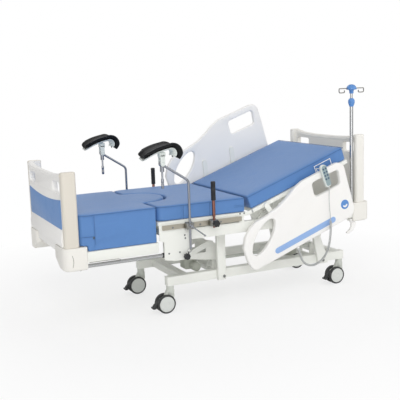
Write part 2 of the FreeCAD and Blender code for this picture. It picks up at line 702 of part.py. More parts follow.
def foot_mattress():
    """The deep foot block with a rounded tongue that fills the seat's notch."""
    low = carriage_top + 4 + seat_gap
    end = board_deep - foot_end + 12 + 2
    block = Piece("foot_block").pad("XZ", [[(end, low), (seam_x, low), (seam_x, mattress_top), (end, mattress_top)]],
                                    -mattress_half, mattress_half)
    block.round(30, along("z", (end, -mattress_half), (end, mattress_half)))
    block.round(12, lambda edge: along("x")(edge) and edge.BoundBox.ZMin > low.value + 1)
    notch_x = cover_long - foot_end + soft_gap
    notch_y = cover_y - cover_deep - soft_gap
    for inner, outer in ((-notch_y, -mattress_half - 1), (notch_y, mattress_half + 1)):
        block.pocket("XY", [[(end - 1, inner), (notch_x, inner), (notch_x, outer), (end - 1, outer)]],
                     low - 1, foot_cover_top + soft_gap)
    tongue = rod("z", (seam_x, 0, mattress_low + soft_gap), tongue_radius, mattress_top - mattress_low - soft_gap)
    node("foot_mattress", fuse(block.body, tongue))


def foot_carriage():
    """The foot section's frame: side beams, a deck and the end beam between the covers."""
    inner_end = cover_long - foot_end + 0.2
    pieces = []
    for _, side in SIDES:
        middle = side * (mattress_half - 18)
        pieces.append(box((inner_end, middle - 15, carriage_low), (seat_foot - 2, middle + 15, carriage_top)))
    deck_half = mattress_half - 3
    cross_half = mattress_half - 32
    between = cover_y - cover_deep - 0.5
    pieces.append(box((inner_end, -deck_half, carriage_top - 1), (seat_foot - 2, deck_half, carriage_top + 4)))
    pieces.append(box((seat_foot - 42, -cross_half, carriage_low + 8), (seat_foot - 2, cross_half, carriage_top)))
    pieces.append(box((inner_end - 74, -between, carriage_top - 1), (inner_end + 1, between, carriage_top + 4)))
    pieces.append(box((inner_end - 74, -between, carriage_low), (inner_end - 24, between, carriage_top)))
    node("foot_carriage", fuse(*pieces))


def slide_tubes():
    """Chrome tubes that carry the foot section in the seat's side plates."""
    start = cover_long - foot_end + 0.2
    node("slide_tubes", together(*[
        cut(rod("x", (start, side * tube_y, tube_z), tube_radius, -308 - start),
            rod("x", (start + 20, side * tube_y, tube_z), tube_radius - 2.5, -300 - start)) for _, side in SIDES]))


def corner_cover(x_in, x_out, low, high):
    """One near corner cover: a block with a full rounded corner and a skirt that rises inboard."""
    y_in = cover_deep - cover_y
    way = 1 if x_out.value > x_in.value else -1
    left, right = (x_in, x_out) if way > 0 else (x_out, x_in)
    cover = Piece("cover").pad("XY", [[(left, -cover_y), (right, -cover_y), (right, y_in), (left, y_in)]], low, high)
    cover.round(52, along("z", (x_out, -cover_y)))
    cover.round(10, along("z", (x_in, -cover_y)))
    cover.pocket("YZ", [[(y_in + 1, low - 1), (y_in - 110, low - 1), (y_in - 70, low + 22), (y_in + 1, low + 62)]],
                 left - 1, right + 1)
    cover.round(16, lambda edge: edge.BoundBox.ZMax < low.value + 0.1 and edge.BoundBox.YMax < -300)
    cover.round(5, lambda edge: edge.BoundBox.ZMin > high.value - 0.1 and edge.BoundBox.YMax < y_in.value - 1)
    return cover.body


def corner_covers():
    """Moulded covers on the four corners of the bed."""
    foot = corner_cover(cover_long - foot_end, -foot_end, foot_cover_low, foot_cover_top)
    peg_hole = rod("z", (foot_board_x + peg_in, -peg_y, foot_cover_top - peg_long - 1), peg_radius + pin_fit, 60)
    node("foot_corner_covers", both_sides(cut(foot, peg_hole)))
    head = corner_cover(head_end - cover_long, as_size(head_end), head_cover_low, head_cover_top)
    peg_hole = rod("z", (head_board_x - peg_in, -peg_y, head_cover_top - peg_long - 1), peg_radius + pin_fit, 60)
    head = cut(head, peg_hole)
    inner = head_end - cover_long
    pocket = box((inner - 1, pole_y - 21, head_cover_low + 20), (pole_x + 21, pole_y + 23, head_cover_top - 20))
    pole_hole = rod("z", (pole_x, pole_y, head_cover_low + 30), pole_radius + 0.5, 200)
    node("head_corner_covers", together(cut(head, pocket, pole_hole), mirrored(head)))


def end_board(label, way, end, deep, low, top, apron_low):
    """A moulded end board: two rounded posts, a sagging top rail, a panel and two hand openings."""
    outer = end
    inner = end - way * deep
    face = outer - way * 34
    left, right = (outer, face) if way < 0 else (face, outer)
    half = as_size(cover_y - 6)
    span = half - post_wide / 2
    apron = cover_y - cover_deep - 3
    slab = Piece(label).pad("YZ", [[
        (-span, low), (-apron, low), (-apron, apron_low), (apron, apron_low), (apron, low), (span, low),
        (span, top - 2), (300, top - 20), (150, top - 27), (-150, top - 27), (-300, top - 20), (-span, top - 2)]],
        left, right)
    opening = [(span - 34, top - 62), (span - 34, top - 132), (220, top - 132), (220, top - 62)]
    other = [(-y, z) for y, z in opening]
    slab.pocket("YZ", [opening, other], left - 1, right + 1)
    slab.round(18, lambda edge: along("x")(edge) and abs(abs(edge.BoundBox.YMin) - (span.value - 34)) < 1)
    slab.round(18, lambda edge: along("x")(edge) and abs(abs(edge.BoundBox.YMin) - 220) < 1)
    slab.round(6, lambda edge: edge.BoundBox.ZMin > top.value - 30 and edge.BoundBox.XLength < 1
               and edge.BoundBox.YLength > 50)
    post_left, post_right = (outer, inner) if way < 0 else (inner, outer)
    posts = []
    for _, side in SIDES:
        middle = side * (half - post_wide / 2)
        post = Piece("post").pad("XY", [[
            (post_left, middle - post_wide / 2), (post_right, middle - post_wide / 2),
            (post_right, middle + post_wide / 2), (post_left, middle + post_wide / 2)]], low, top)
        post.round(18, along("z"))
        post.round(8, lambda edge: edge.BoundBox.ZMin > top.value - 0.1)
        posts.append(post.body)
    pegs = [rod("z", (outer - way * peg_in, side * peg_y, low - peg_long), peg_radius, peg_long + 10)
            for _, side in SIDES]
    return fuse(slab.body, *posts, *pegs)


def end_boards():
    """The lift-off foot and head boards, and the peg holes they need in the covers."""
    node("foot_board", end_board("foot_slab", -1, foot_board_x, board_deep, foot_cover_top + seat_gap,
                                 foot_board_top, foot_cover_low + 92))
    node("head_board", end_board("head_slab", 1, head_board_x, board_deep - 17, head_cover_top + seat_gap,
                                 head_board_top, head_cover_top - 20))


def lock_knob():
    """The black knob and pull ring that lock the foot section's tubes."""
    grip = Piece("knob").pad("XZ", [("circle", (0, 0), 21)], -32, -8)
    grip.round(4, lambda edge: edge.BoundBox.YMax < -31)
    stem = rod("y", (0, -8.2, 0), 7, 8)
    ring = doc.addObject("Part::Torus", "ring")
    ring.Radius1 = 13
    ring.Radius2 = 2.5
    place(ring, (22, -12, 36), AXES["y"])
    lug = box((12, -14.5, 14), (20, -9.5, 28))
    knob = fuse(grip.body, stem, ring, lug)
    place(knob, (-333, -member_y - plate_thick, 405))
    node("foot_lock_knob", knob)


def on_back(thing, pivot=(0, 0)):
    """Set a piece that was drawn along the back section on the tilted back section."""
    s, n = (as_size(v) for v in pivot)
    x = crease_x + s * cosine(back_tilt) - n * sine(back_tilt)
    z = mattress_top + s * sine(back_tilt) + n * cosine(back_tilt)
    place(thing, (x, 0, z), FreeCAD.Rotation(FreeCAD.Vector(0, -1, 0), back_tilt.value))
    bind(thing, "Placement.Rotation.Angle", back_tilt)
    return thing


frame_top = -(back_thick + seat_gap)
frame_low = frame_top - back_bar


def back_frame():
    """The back section: side bars, cross bars, a slotted deck and two arc rails about the crease."""
    pieces = []
    for _, side in SIDES:
        middle = side * (mattress_half - 14)
        pieces.append(box((14, middle - 14, frame_low), (back_length - 6, middle + 14, frame_top)))
    for s in (14, 230, 440, 640, back_length - 34):
        pieces.append(box((s, 1 - mattress_half, frame_low), (s + 28, mattress_half - 1, frame_top)))
    slots = [box((s, -300, frame_top - 5), (s + 12, 300, frame_top + 1))
             for s in (90, 130, 170, 300, 340, 380, 510, 550, 590, 700, 740)]
    deck = cut(box((15, 1 - mattress_half, frame_top - 3), (back_length - 7, mattress_half - 1, frame_top)), *slots)
    pieces.append(deck)
    for _, side in SIDES:
        pieces.append(arc_rail(side))
        for s in (link_foot, link_foot + link_space):
            deep = as_size(8)
            start = side * (mattress_half - deep / 2 + 2) - deep / 2
            pieces.append(rod("y", (s, start, -link_drop), 15, deep))
    frame = fuse(*pieces)
    bores = []
    for _, side in SIDES:
        for s in (link_foot, link_foot + link_space):
            bores.append(rod("y", (s, side * (mattress_half - 8) - 15, -link_drop), link_pin + pin_fit, 30))
    node("back_frame", on_back(cut(frame, *bores)))


def arc_rail(side):
    """A curved rail centred on the crease, so that the two mattresses part without pinching."""
    inner, outer = arc_radius - 10, arc_radius + 10
    disc = rod("y", (0, side * sector_y - 5, 0), outer, 10)
    hole = rod("y", (0, side * sector_y - 6, 0), inner, 12)
    ring = cut(disc, hole)
    start, stop = math.radians(-51), math.radians(56)
    far = 400
    points = [(0, 0)]
    for angle in (start, (start * 2 + stop) / 3, (start + stop * 2) / 3, stop):
        points.append((far * math.sin(angle), -far * math.cos(angle)))
    wedge = plate("XZ", [points], side * sector_y - 7, side * sector_y + 7)
    arc = doc.addObject("Part::MultiCommon", "arc")
    arc.Shapes = [ring, wedge]
    web = plate("XZ", [[(20, frame_low + 2), (100, frame_low + 2), (105, 20 - arc_radius), (70, 6 - arc_radius),
                        (20, -arc_radius)]], side * sector_y - 5, side * sector_y + 5)
    return fuse(arc, web)


def back_mattress():
    block = Piece("back_block").pad("XZ", [[(soft_gap, -back_thick), (back_length, -back_thick), (back_length, 0),
                                            (soft_gap, 0)]], -mattress_half, mattress_half)
    block.round(20, along("z", (back_length, -mattress_half), (back_length, mattress_half)))
    block.round(12, lambda edge: along("x")(edge) and edge.BoundBox.ZMin > -1)
    node("back_mattress", on_back(block.body))


rail_rise = link_length * sine(link_angle)
rail_reach = link_length * cosine(link_angle)
rail_out = rail_in + rail_thick


def side_rail(label, side, drop):
    """A moulded rail panel with a hand opening at its head end, and the oval that is cut from it."""
    near_face, far_face = (-rail_out, -rail_in) if side < 0 else (rail_in, rail_out)
    outline = [(-7, -171), (76, -168), (183, -150), (263, -119), (340, -84), (405, -68), (696, -66), (728, -76),
               (751, -112), (734, -420), (707, -466), (654, -472), (29, -477), (-148, -476), (-165, -394),
               (-162, -295), (-125, -233), (-69, -189)]
    lift = -drop
    outline = [(s, n + lift) for s, n in outline]
    hand = [(468, lift - 112), (700, lift - 112), (680, lift - 217), (458, lift - 217)]
    panel = Piece(label).pad("XZ", [outline], near_face, far_face)
    panel.pocket("XZ", [hand], near_face - 1, far_face + 1)

    def corner(*spots):
        return along("y", *[(s, n + lift) for s, n in spots])

    panel.round(36, corner((751, -112), (707, -466), (728, -76)))
    panel.round(44, corner((-148, -476), (-165, -394), (-125, -233)))
    panel.round(90, corner((-7, -171), (340, -84)))
    panel.round(24, corner((468, -112), (700, -112), (680, -217), (458, -217)))
    oval = doc.addObject("Part::Ellipsoid", "oval")
    oval.Radius1 = 200
    oval.Radius2 = 137
    oval.Radius3 = 56
    place(oval, (2, side * (rail_in + rail_thick / 2), lift - 293), oval_turn())
    return panel.body, oval


def oval_turn():
    """The oval's long axis climbs towards the head, and its short axis lies across it."""
    tilt = FreeCAD.Rotation(FreeCAD.Vector(0, 1, 0), -37)
    lie = FreeCAD.Rotation(FreeCAD.Vector(0, 0, 1), FreeCAD.Vector(0, 1, 0))
    return tilt * lie


def side_rails():
    """Both rails with bores for their link pins; the near one is down and the far one is up."""
    for name, side in SIDES:
        centre_drop = as_size(0) if side < 0 else -(rail_rise * 2)
        panel, window = side_rail(f"{name}_panel", side, centre_drop)
        level = -link_drop - rail_rise if side < 0 else -link_drop + rail_rise
        bores = []
        for s, fit in ((link_foot, pin_fit), (link_foot + link_space, open_fit)):
            inner = rail_in - 1
            length = as_size(22)
            start = side * (inner + length / 2) - length / 2
            bores.append(rod("y", (s + rail_reach, start, level), link_pin + fit, length))
        if side < 0:
            gland = cord_gland(near_y=side * (rail_in + rail_thick / 2))
            panel = fuse(panel, gland)
        node(f"{name}_side_rail", on_back(cut(panel, window, *bores)))


def cord_gland(near_y):
    """The boss on the rail's lower edge that the curly cord goes into."""
    return turned(rod("z", (0, 0, 0), 11, 16), (gland_s, near_y, gland_n), (0, 1, 0), 0)


def rail_links():
    """Two swing links a side, each with a pin into the back section and a pin into its rail."""
    for name, side in SIDES:
        way = 1 if side > 0 else -1
        rise = rail_rise * way
        for which, s in (("foot", link_foot), ("head", link_foot + link_space)):
            low_y = side * (rail_in - 2 - link_thick / 2) - link_thick / 2
            bar = box((0, low_y, -(link_wide / 2)), (link_length, low_y + link_thick, link_wide / 2))
            ends = [rod("y", (x, low_y, 0), link_wide / 2, link_thick) for x in (as_size(0), link_length)]
            frame_pin = rod("y", (0, side * (rail_in - 18) - 14, 0), link_pin, 28)
            rail_pin = rod("y", (link_length, side * (rail_in + 5) - 12, 0), link_pin, 24)
            link = turned(fuse(bar, *ends, frame_pin, rail_pin), (0, 0, 0), (0, -1, 0), link_angle * way)
            node(f"{name}_{which}_rail_link", on_back(together(link), (s, -link_drop)))


def infusion_pole():
    """Outer tube, locking knob and the sliding mast with its two hooks."""
    foot = socket_floor + seat_gap
    tube = cut(rod("z", (pole_x, pole_y, foot), pole_radius, pole_top - foot),
               rod("z", (pole_x, pole_y, foot + 180), mast_radius + pin_fit, pole_top - foot))
    node("pole_tube", tube)
    collar = Piece("collar").pad("XY", [("circle", (0, 0), 22)], 0, 58)
    collar.pocket("XY", [("circle", (0, 0), mast_radius + pin_fit)], -1, 59)
    collar.round(9, lambda edge: edge.BoundBox.XLength > 40 and (edge.BoundBox.ZMin > 57 or edge.BoundBox.ZMax < 1))
    place(collar.body, (pole_x, pole_y, pole_top + seat_gap))
    node("pole_lock_knob", collar.body)
    mast = rod("z", (pole_x, pole_y, pole_top - 220), mast_radius, mast_top - pole_top + 220)
    cap = doc.addObject("Part::Cone", "cap")
    cap.Radius1, cap.Radius2, cap.Height = 36, 14, 40
    place(cap, (pole_x, pole_y, mast_top + 22))
    throat = rod("z", (pole_x, pole_y, mast_top - 1), 17, 24)
    hooks = []
    for way in (-1, 1):
        rise = doc.addObject("Part::Torus", "hook")
        rise.Radius1, rise.Radius2 = 26, 3
        rise.Angle3 = 230
        place(rise, (pole_x + way * 78, pole_y, mast_top + 12),
              FreeCAD.Rotation(FreeCAD.Vector(1, 0, 0), 90) * FreeCAD.Rotation(FreeCAD.Vector(0, 0, 1),
                                                                              150 if way > 0 else 160))
        arm = rod("x", (pole_x + (14 if way > 0 else -60), pole_y, mast_top + 12), 3, 46)
        hooks += [rise, arm]
    node("pole_mast", fuse(mast, throat, cap, *hooks))


def leg_support(name, side, x):
    """A jointed calf support: bent rod, tilt joint, padded saddle and its levers."""
    y = side * grip_y
    straight = rod("z", (x, y, 456), leg_rod, 414)
    bend = doc.addObject("Part::Torus", "bend")
    bend.Radius1 = 40
    bend.Radius2 = leg_rod.value
    bend.Angle3 = 57
    place(bend, (x - 40, y, 870), FreeCAD.Rotation(FreeCAD.Vector(1, 0, 0), 90))
    bind(bend, "Radius2", leg_rod)
    slant = doc.addObject("Part::Cylinder", "slant")
    slant.Radius = leg_rod.value
    slant.Height = 180
    bind(slant, "Radius", leg_rod)
    climb = math.radians(57)
    place(slant, (x - 40 + 40 * math.cos(climb), y, 870 + 40 * math.sin(climb)),
          FreeCAD.Rotation(FreeCAD.Vector(0, 1, 0), -57))
    hub_x, hub_z = x - 174, 1012
    socket = rod("y", (hub_x, y - 13, hub_z - 4), 17, 26)
    barrel = rod("z", (hub_x, y, hub_z - 52), 13, 42)
    hole = rod("y", (hub_x, y - 14, hub_z - 4), 8 + pin_fit, 28)
    stem = fuse(straight, bend, slant, socket, barrel)
    stem.Refine = False
    shaft_hole = rod("z", (hub_x, y, hub_z - 60), 6 + pin_fit, 30)
    stem = cut(stem, hole, shaft_hole)
    stem.Refine = False
    node(f"{name}_leg_rod", stem)

    lever = fuse(rod("z", (hub_x, y, hub_z - 150), 6, 118), rod("z", (hub_x, y, hub_z - 156), 9, 60))
    node(f"{name}_tilt_lever", lever)

    ears = [box((hub_x - 13, y + dy - 3, hub_z - 20), (hub_x + 13, y + dy + 3, hub_z + 48)) for dy in (-17, 17)]
    bridge = box((hub_x - 16, y - 20, hub_z + 40), (hub_x + 16, y + 20, hub_z + 71))
    pin = rod("y", (hub_x, y - 20, hub_z - 4), 8, 40)
    saddle, shell = leg_saddle(hub_x, y, hub_z + 48)
    node(f"{name}_leg_saddle", together(fuse(*ears, bridge, pin, shell), saddle))


def saddle_path(x, z, lift):
    """The saddle's line along the leg: a straight calf part, then a tight curl under the knee."""
    start = FreeCAD.Vector(x - 122, 0, z - 12 + lift)
    crown = FreeCAD.Vector(x + 44, 0, z + 42 + lift)
    way = (crown - start).normalize()
    up = FreeCAD.Vector(-way.z, 0, way.x)
    radius = 19 + lift
    centre = crown - up * radius
    angle = math.radians(152)
    mid = centre + up * radius * math.cos(angle / 2) + way * radius * math.sin(angle / 2)
    last = centre + up * radius * math.cos(angle) + way * radius * math.sin(angle)
    return start, crown, mid, last, way, up


def leg_saddle(x, y, z):
    """A dished pad swept along the leg's line, and the thin shell that carries it."""
    x, y, z = (as_size(v).value for v in (x, y, z))
    solids = []
    for lift, thick, half, rise in ((0, 16, 74, 26), (-4.3, 4, 56, 14.1)):
        start, crown, mid, last, way, up = saddle_path(x, z, lift)
        path = Part.Wire([Part.LineSegment(start, crown).toShape(), Part.Arc(crown, mid, last).toShape()])

        def at(across, high):
            return start + FreeCAD.Vector(0, y + across, 0) + up * high

        under = Part.Arc(at(-half, rise), at(0, 0), at(half, rise)).toShape()
        over = Part.Arc(at(half, rise + thick), at(0, thick), at(-half, rise + thick)).toShape()
        close_far = Part.LineSegment(at(half, rise), at(half, rise + thick)).toShape()
        close_near = Part.LineSegment(at(-half, rise + thick), at(-half, rise)).toShape()
        section = Part.Wire([under, close_far, over, close_near])
        swept = path.makePipeShell([section], True, True)
        made = doc.addObject("Part::Feature", "saddle_skin")
        made.Shape = swept
        solids.append(made)
    return solids[0], solids[1]


def rail_clamps():
    """Four clamp blocks on the accessory rails: two for the leg rods and two for the grips."""
    blocks = []
    for x, side, radius in ((leg_near_x, NEAR, leg_rod), (leg_far_x, FAR, leg_rod),
                            (grip_near_x, NEAR, leg_rod), (grip_far_x, FAR, leg_rod)):
        y = side * grip_y
        middle = side * (grip_y - 2)
        block = edge_round(box((x - 26, middle - 17, rail_bar_low - 4), (x + 26, middle + 17, rail_bar_low + 34)), 8,
                           along("z"))
        jaws = [box((x - 22, side * (rail_bar_in + 10) - 10, z), (x + 22, side * (rail_bar_in + 10) + 10, z + 6))
                for z in (rail_bar_low - 7, rail_bar_low + rail_bar_high + 0.5)]
        slot = rail_bar_thick / 2 + 0.3
        gap = box((x - 30, side * (rail_bar_in + rail_bar_thick / 2) - slot, rail_bar_low - 0.3),
                  (x + 30, side * (rail_bar_in + rail_bar_thick / 2) + slot, rail_bar_low + rail_bar_high + 0.3))
        bore = rod("z", (x, y, rail_bar_low - 20), radius + pin_fit, 70)
        blocks.append(cut(fuse(block, *jaws), gap, bore))
    node("rail_clamps", together(*blocks))


def clamp_levers():
    """The T-lever that tightens each leg rod in its clamp."""
    for name, side, x in (("near", NEAR, leg_near_x), ("far", FAR, leg_far_x)):
        y = side * (grip_y + 15)
        boss = rod("y", (0, 0.4 if side > 0 else -12.4, 0), 9, 12)
        arm = turned(rod("x", (0, side * 8, 0), 3.5, 118), (0, 0, 0), (0, 1, 0), 38)
        place(boss, (0, 0.4 if side > 0 else -12.4, 0), AXES["y"])
        lever = fuse(boss, arm)
        place(lever, (x + 2, y, rail_bar_low + 16))
        node(f"{name}_clamp_lever", lever)


def hand_grips():
    """A ribbed grip on a rod each side, and the knob that tightens it."""
    for name, side, x in (("near", NEAR, grip_near_x), ("far", FAR, grip_far_x)):
        y = side * grip_y
        sleeve = Piece("sleeve").pad("XY", [("circle", (0, 0), 16)], 0, 122)
        sleeve.round(5, lambda edge: edge.BoundBox.ZMin > 121 or edge.BoundBox.ZMax < 1)
        place(sleeve.body, (x, y, 749))
        node(f"{name}_hand_grip", fuse(sleeve.body, rod("z", (x, y, 572), leg_rod, 200)))
        knob = Piece("grip_knob").pad("XZ", [("circle", (0, 0), 19)], 6, 28)
        knob.round(4, lambda edge: edge.BoundBox.YMin > 27)
        turn = fuse(knob.body, rod("y", (0, 0.4, 0), 6, 8))
        if side < 0:
            turn = mirrored(turn)
        together_knob = together(turn)
        place(together_knob, (x + 2, side * (grip_y + 15), rail_bar_low + 14))
        node(f"{name}_grip_knob", together_knob)


def handset():
    """The hand control and the wire hanger that holds it on the near rail."""
    y = -rail_out
    top, low = -22, -182
    body = Piece("handset_body").pad("XZ", [[(546, low), (598, low), (602, top), (544, top)]], y - 30, y - 6)
    body.round(10, along("y"))
    body.round(3, lambda edge: edge.BoundBox.YMax < y.value - 29)
    node("handset", on_back(body.body))
    wires = []
    for s in (556, 590):
        wires.append(rod("z", (s, y - 3, -150), 2.2, 104))
        wires.append(rod("y", (s, y - 5.2, -46), 2.2, rail_thick + 10.4))
        wires.append(rod("z", (s, -rail_in + 3, -110), 2.2, 66))
    wires.append(rod("x", (553.8, y - 3, -150), 2.2, 38.4))
    wires.append(rod("x", (553.8, y - 3, -110), 2.2, 38.4))
    for s in (545.2, 680.8):
        wires.append(rod("z", (s, 3 - rail_in, -110), 2.2, 84.2))
    for n in (-110, -28):
        wires.append(rod("x", (543, 3 - rail_in, n), 2.2, 140))
    node("handset_hanger", on_back(fuse(*wires)))


def tube_along(points, radius):
    """A round cord through straight runs joined by tangent arcs; each y counts outwards from the gland."""
    points = [FreeCAD.Vector(x, gland_y.value - out, z) for x, out, z in points]
    edges = []
    start = points[0]
    for before, corner, after in zip(points, points[1:], points[2:]):
        into = (corner - before).normalize()
        out = (after - corner).normalize()
        half = into.getAngle(out) / 2
        reach = 0.45 * min(before.distanceToPoint(corner), corner.distanceToPoint(after))
        bend = reach / math.tan(half)
        print(f"cord bend radius {bend:.1f} mm")
        first = corner - into * reach
        last = corner + out * reach
        inward = (out - into).normalize()
        middle = corner + inward * (bend / math.cos(half) - bend)
        edges.append(Part.LineSegment(start, first).toShape())
        edges.append(Part.Arc(first, middle, last).toShape())
        start = last
    edges.append(Part.LineSegment(start, points[-1]).toShape())
    path = Part.Wire(edges)
    way = (points[1] - points[0]).normalize()
    circle = Part.Wire([Part.Circle(points[0], way, radius).toShape()])
    swept = path.makePipeShell([circle], True, False)
    expected = math.pi * radius * radius * path.Length
    if abs(swept.Volume - expected) > 0.02 * expected:
        raise ValueError("a cord's volume is not its section times its length")
    return swept


gland_y = -(rail_in + rail_thick / 2)
CABLE_POINTS = [(717.9, 35, 762.4), (723, 35, 748), (724, 35, 722), (722.5, 35, 690), (723.5, 35, 656),
                (726, 35, 622), (729, 35, 588), (733, 35, 556), (734, 35, 524.12)]
COIL_POINTS = [(734, 35, 524), (735, 35, 484), (734, 34, 436), (730, 32, 388), (721, 28, 338),
               (704, 23, 291), (676, 17, 252), (638, 11, 228), (594, 6, 220), (554, 2, 232),
               (526, 0, 259), (513, 0, 291), (504.3, 0, 320.6), (490.9, 0, 358.05)]


def handset_cord():
    """The hand control's lead: a thin straight stretch, then a curly stretch into the rail's lower edge."""
    cable = doc.addObject("Part::Feature", "cable")
    cable.Shape = tube_along(CABLE_POINTS, 2.5)
    node("handset_cable", cable)
    coil = doc.addObject("Part::Feature", "coil")
    coil.Shape = tube_along(COIL_POINTS, 8.5)
    node("handset_coil", coil)


def release_lever():
    """The curved quick-release lever under the near head cover."""
    lever = Piece("lever").pad("XZ", [[
        (-9, 8), (9, 8), (10, -20), (44, -20), (43, -38), (36, -57), (20, -77), (-2, -92),
        (-22, -100), (-33, -97), (-34, -89), (-20, -80), (-4, -67), (6, -49), (6, -27), (-9, -10)]], -9, 9)
    lever.round(3, along("y"))
    pin = rod("y", (0, -14, 0), lever_pin, 36)
    both = fuse(lever.body, pin)
    place(both, (lever_x, lever_y, lever_z))
    node("release_lever", both)


for place_name, caster_x, caster_y in (("near_foot", beam_foot + stem_inset, -beam_y),
                                       ("far_foot", beam_foot + stem_inset, beam_y),
                                       ("near_head", beam_head - stem_inset, -beam_y),
                                       ("far_head", beam_head - stem_inset, beam_y)):
    caster(place_name, caster_x, caster_y)
base_frame()
lift_drive()
push_rod()
lift_arms()
main_frame()
seat_frame()
accessory_rails()
slide_bushings()
seat_mattress()
foot_mattress()
foot_carriage()
slide_tubes()
corner_covers()
end_boards()
lock_knob()
back_frame()
back_mattress()
side_rails()
rail_links()
infusion_pole()
leg_support("near", NEAR, leg_near_x)
leg_support("far", FAR, leg_far_x)
rail_clamps()
clamp_levers()
hand_grips()
handset()
handset_cord()
release_lever()

doc.recompute()
failed = [f"{thing.Label} ({thing.Name})" for thing in doc.Objects
          if "Invalid" in thing.State or "Error" in thing.State]
failed += [label for label, thing in nodes.items()
           if thing.Shape.isNull() or not thing.Shape.isValid() or not thing.Shape.Solids]
if failed:
    raise ValueError(f"these failed: {failed}")
os.makedirs("parts", exist_ok=True)
for label, thing in nodes.items():
    thing.Shape.exportStep(f"parts/{label}.step")
print(len(nodes), "nodes")
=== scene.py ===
"""The looks of an electric delivery bed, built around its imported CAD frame."""

import json
import math

import bmesh
import bpy
from mathutils import Matrix, Vector, noise
from mathutils.bvhtree import BVHTree
from mathutils.geometry import area_tri

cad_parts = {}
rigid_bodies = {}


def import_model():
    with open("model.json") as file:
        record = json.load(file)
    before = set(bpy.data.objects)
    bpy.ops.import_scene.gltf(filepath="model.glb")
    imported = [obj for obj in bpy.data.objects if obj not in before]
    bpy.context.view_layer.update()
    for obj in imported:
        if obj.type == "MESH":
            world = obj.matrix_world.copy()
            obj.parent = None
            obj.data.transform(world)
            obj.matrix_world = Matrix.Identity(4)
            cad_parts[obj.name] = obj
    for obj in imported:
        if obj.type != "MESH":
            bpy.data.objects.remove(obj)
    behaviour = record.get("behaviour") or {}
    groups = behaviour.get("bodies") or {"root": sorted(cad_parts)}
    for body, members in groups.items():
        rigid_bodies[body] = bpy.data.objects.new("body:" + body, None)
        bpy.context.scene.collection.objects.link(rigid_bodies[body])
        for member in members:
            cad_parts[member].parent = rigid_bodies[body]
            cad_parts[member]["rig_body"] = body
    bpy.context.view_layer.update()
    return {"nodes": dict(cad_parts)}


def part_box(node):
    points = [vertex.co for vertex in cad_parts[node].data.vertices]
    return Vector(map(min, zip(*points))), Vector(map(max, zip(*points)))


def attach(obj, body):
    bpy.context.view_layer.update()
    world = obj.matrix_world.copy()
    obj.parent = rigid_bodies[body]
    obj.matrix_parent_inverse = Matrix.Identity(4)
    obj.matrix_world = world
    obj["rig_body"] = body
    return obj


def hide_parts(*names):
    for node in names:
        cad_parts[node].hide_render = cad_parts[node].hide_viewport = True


bl_info = {
    "name": "Delivery Bed",
    "version": (1, 0, 0),
    "blender": (4, 5, 0),
    "location": "3D View > Sidebar > Delivery Bed",
    "description": "Builds the visible pieces of an electric delivery bed on its CAD frame",
    "category": "Object",
}

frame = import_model()

MM = 0.001
SIDES = (("near", -1), ("far", 1))
CORNERS = ("near_foot", "far_foot", "near_head", "far_head")
BACK_TILT = math.radians(19.7)
CREASE = (118, 0, 741)
RAIL_FACE = 482
RAIL_LIFT = 410.9
MATTRESS_HALF = 428
SEAM_X = -514
TONGUE = 214
FOOT_X = -1021.5
BACK_LONG = 823
POST_INNER = 393.5
FOOT_FACE = -1107.5
FINISHES = {}


def linear(code):
    """A colour written as it should be seen, turned into light values."""
    parts = [int(code[i:i + 2], 16) / 255 for i in (0, 2, 4)]
    return tuple(p / 12.92 if p < 0.04045 else ((p + 0.055) / 1.055) ** 2.4 for p in parts)


def tint(name, text, code):
    return bpy.props.FloatVectorProperty(name=name, description=text, subtype="COLOR", size=3, min=0, max=1,
                                         default=linear(code))


def measure(name, text, value):
    return bpy.props.FloatProperty(name=name, description=text, default=value, unit="LENGTH", subtype="DISTANCE")


class BedColours(bpy.types.PropertyGroup):
    """Colours that a user would change."""

    cover: tint("Mattress cover", "Blue coated fabric of the three mattresses", "5985BF")
    stripe: tint("Rail stripe", "Lighter blue stripe and buttons on the side rails", "93B4E4")
    inset: tint("Board inset", "Blue inset panel of the foot board", "5C8CC9")
    shell: tint("Moulded shell", "White plastic of the rails and boards", "F5F4F2")
    cover_shell: tint("Corner covers", "White plastic of the corner covers and the head board", "EEECE6")
    post: tint("Posts", "Warm white plastic of the foot board's posts", "E0DACE")
    paint: tint("Frame paint", "Powder coat of the base and frames", "EFF0EA")
    drive: tint("Drive housing", "Grey plastic of the lift drive", "B7BAB0")
    pad: tint("Leg pads", "Black cover of the leg supports", "121315")


class BedSizes(bpy.types.PropertyGroup):
    """Sizes of soft and small pieces that a user would change."""

    voxel: measure("Mattress voxel", "Grid size that the mattress blocks are remeshed at", 0.009)
    swell: measure("Mattress swell", "Most that the filling may push a cover outwards", 0.005)
    seam: measure("Seam depth", "How deep a sewn seam pulls in", 0.0035)
    piping: measure("Piping radius", "Radius of the sewn piping", 0.0016)
    screw: measure("Screw head", "Radius of a cover screw head", 0.0075)
    coil_wire: measure("Curly cord", "Thickness of the wound lead", 0.0044)
    coil_pitch: measure("Coil pitch", "Distance between two turns of the curly lead", 0.0054)


class Sum:
    """A number socket that can stand in a sum."""

    def __init__(self, tree, socket):
        self.tree = tree
        self.socket = socket

    def join(self, operation, first, second):
        maths = self.tree.nodes.new("ShaderNodeMath")
        maths.operation = operation
        for place, value in zip(maths.inputs, (first, second)):
            if isinstance(value, Sum):
                self.tree.links.new(value.socket, place)
            else:
                place.default_value = value
        return Sum(self.tree, maths.outputs[0])

    def __add__(self, other):
        return self.join("ADD", self, other)

    __radd__ = __add__

    def __sub__(self, other):
        return self.join("SUBTRACT", self, other)

    def __rsub__(self, other):
        return self.join("SUBTRACT", other, self)

    def __mul__(self, other):
        return self.join("MULTIPLY", self, other)

    __rmul__ = __mul__

    def __abs__(self):
        return self.join("ABSOLUTE", self, 0.0)

    def __gt__(self, other):
        return self.join("GREATER_THAN", self, other)


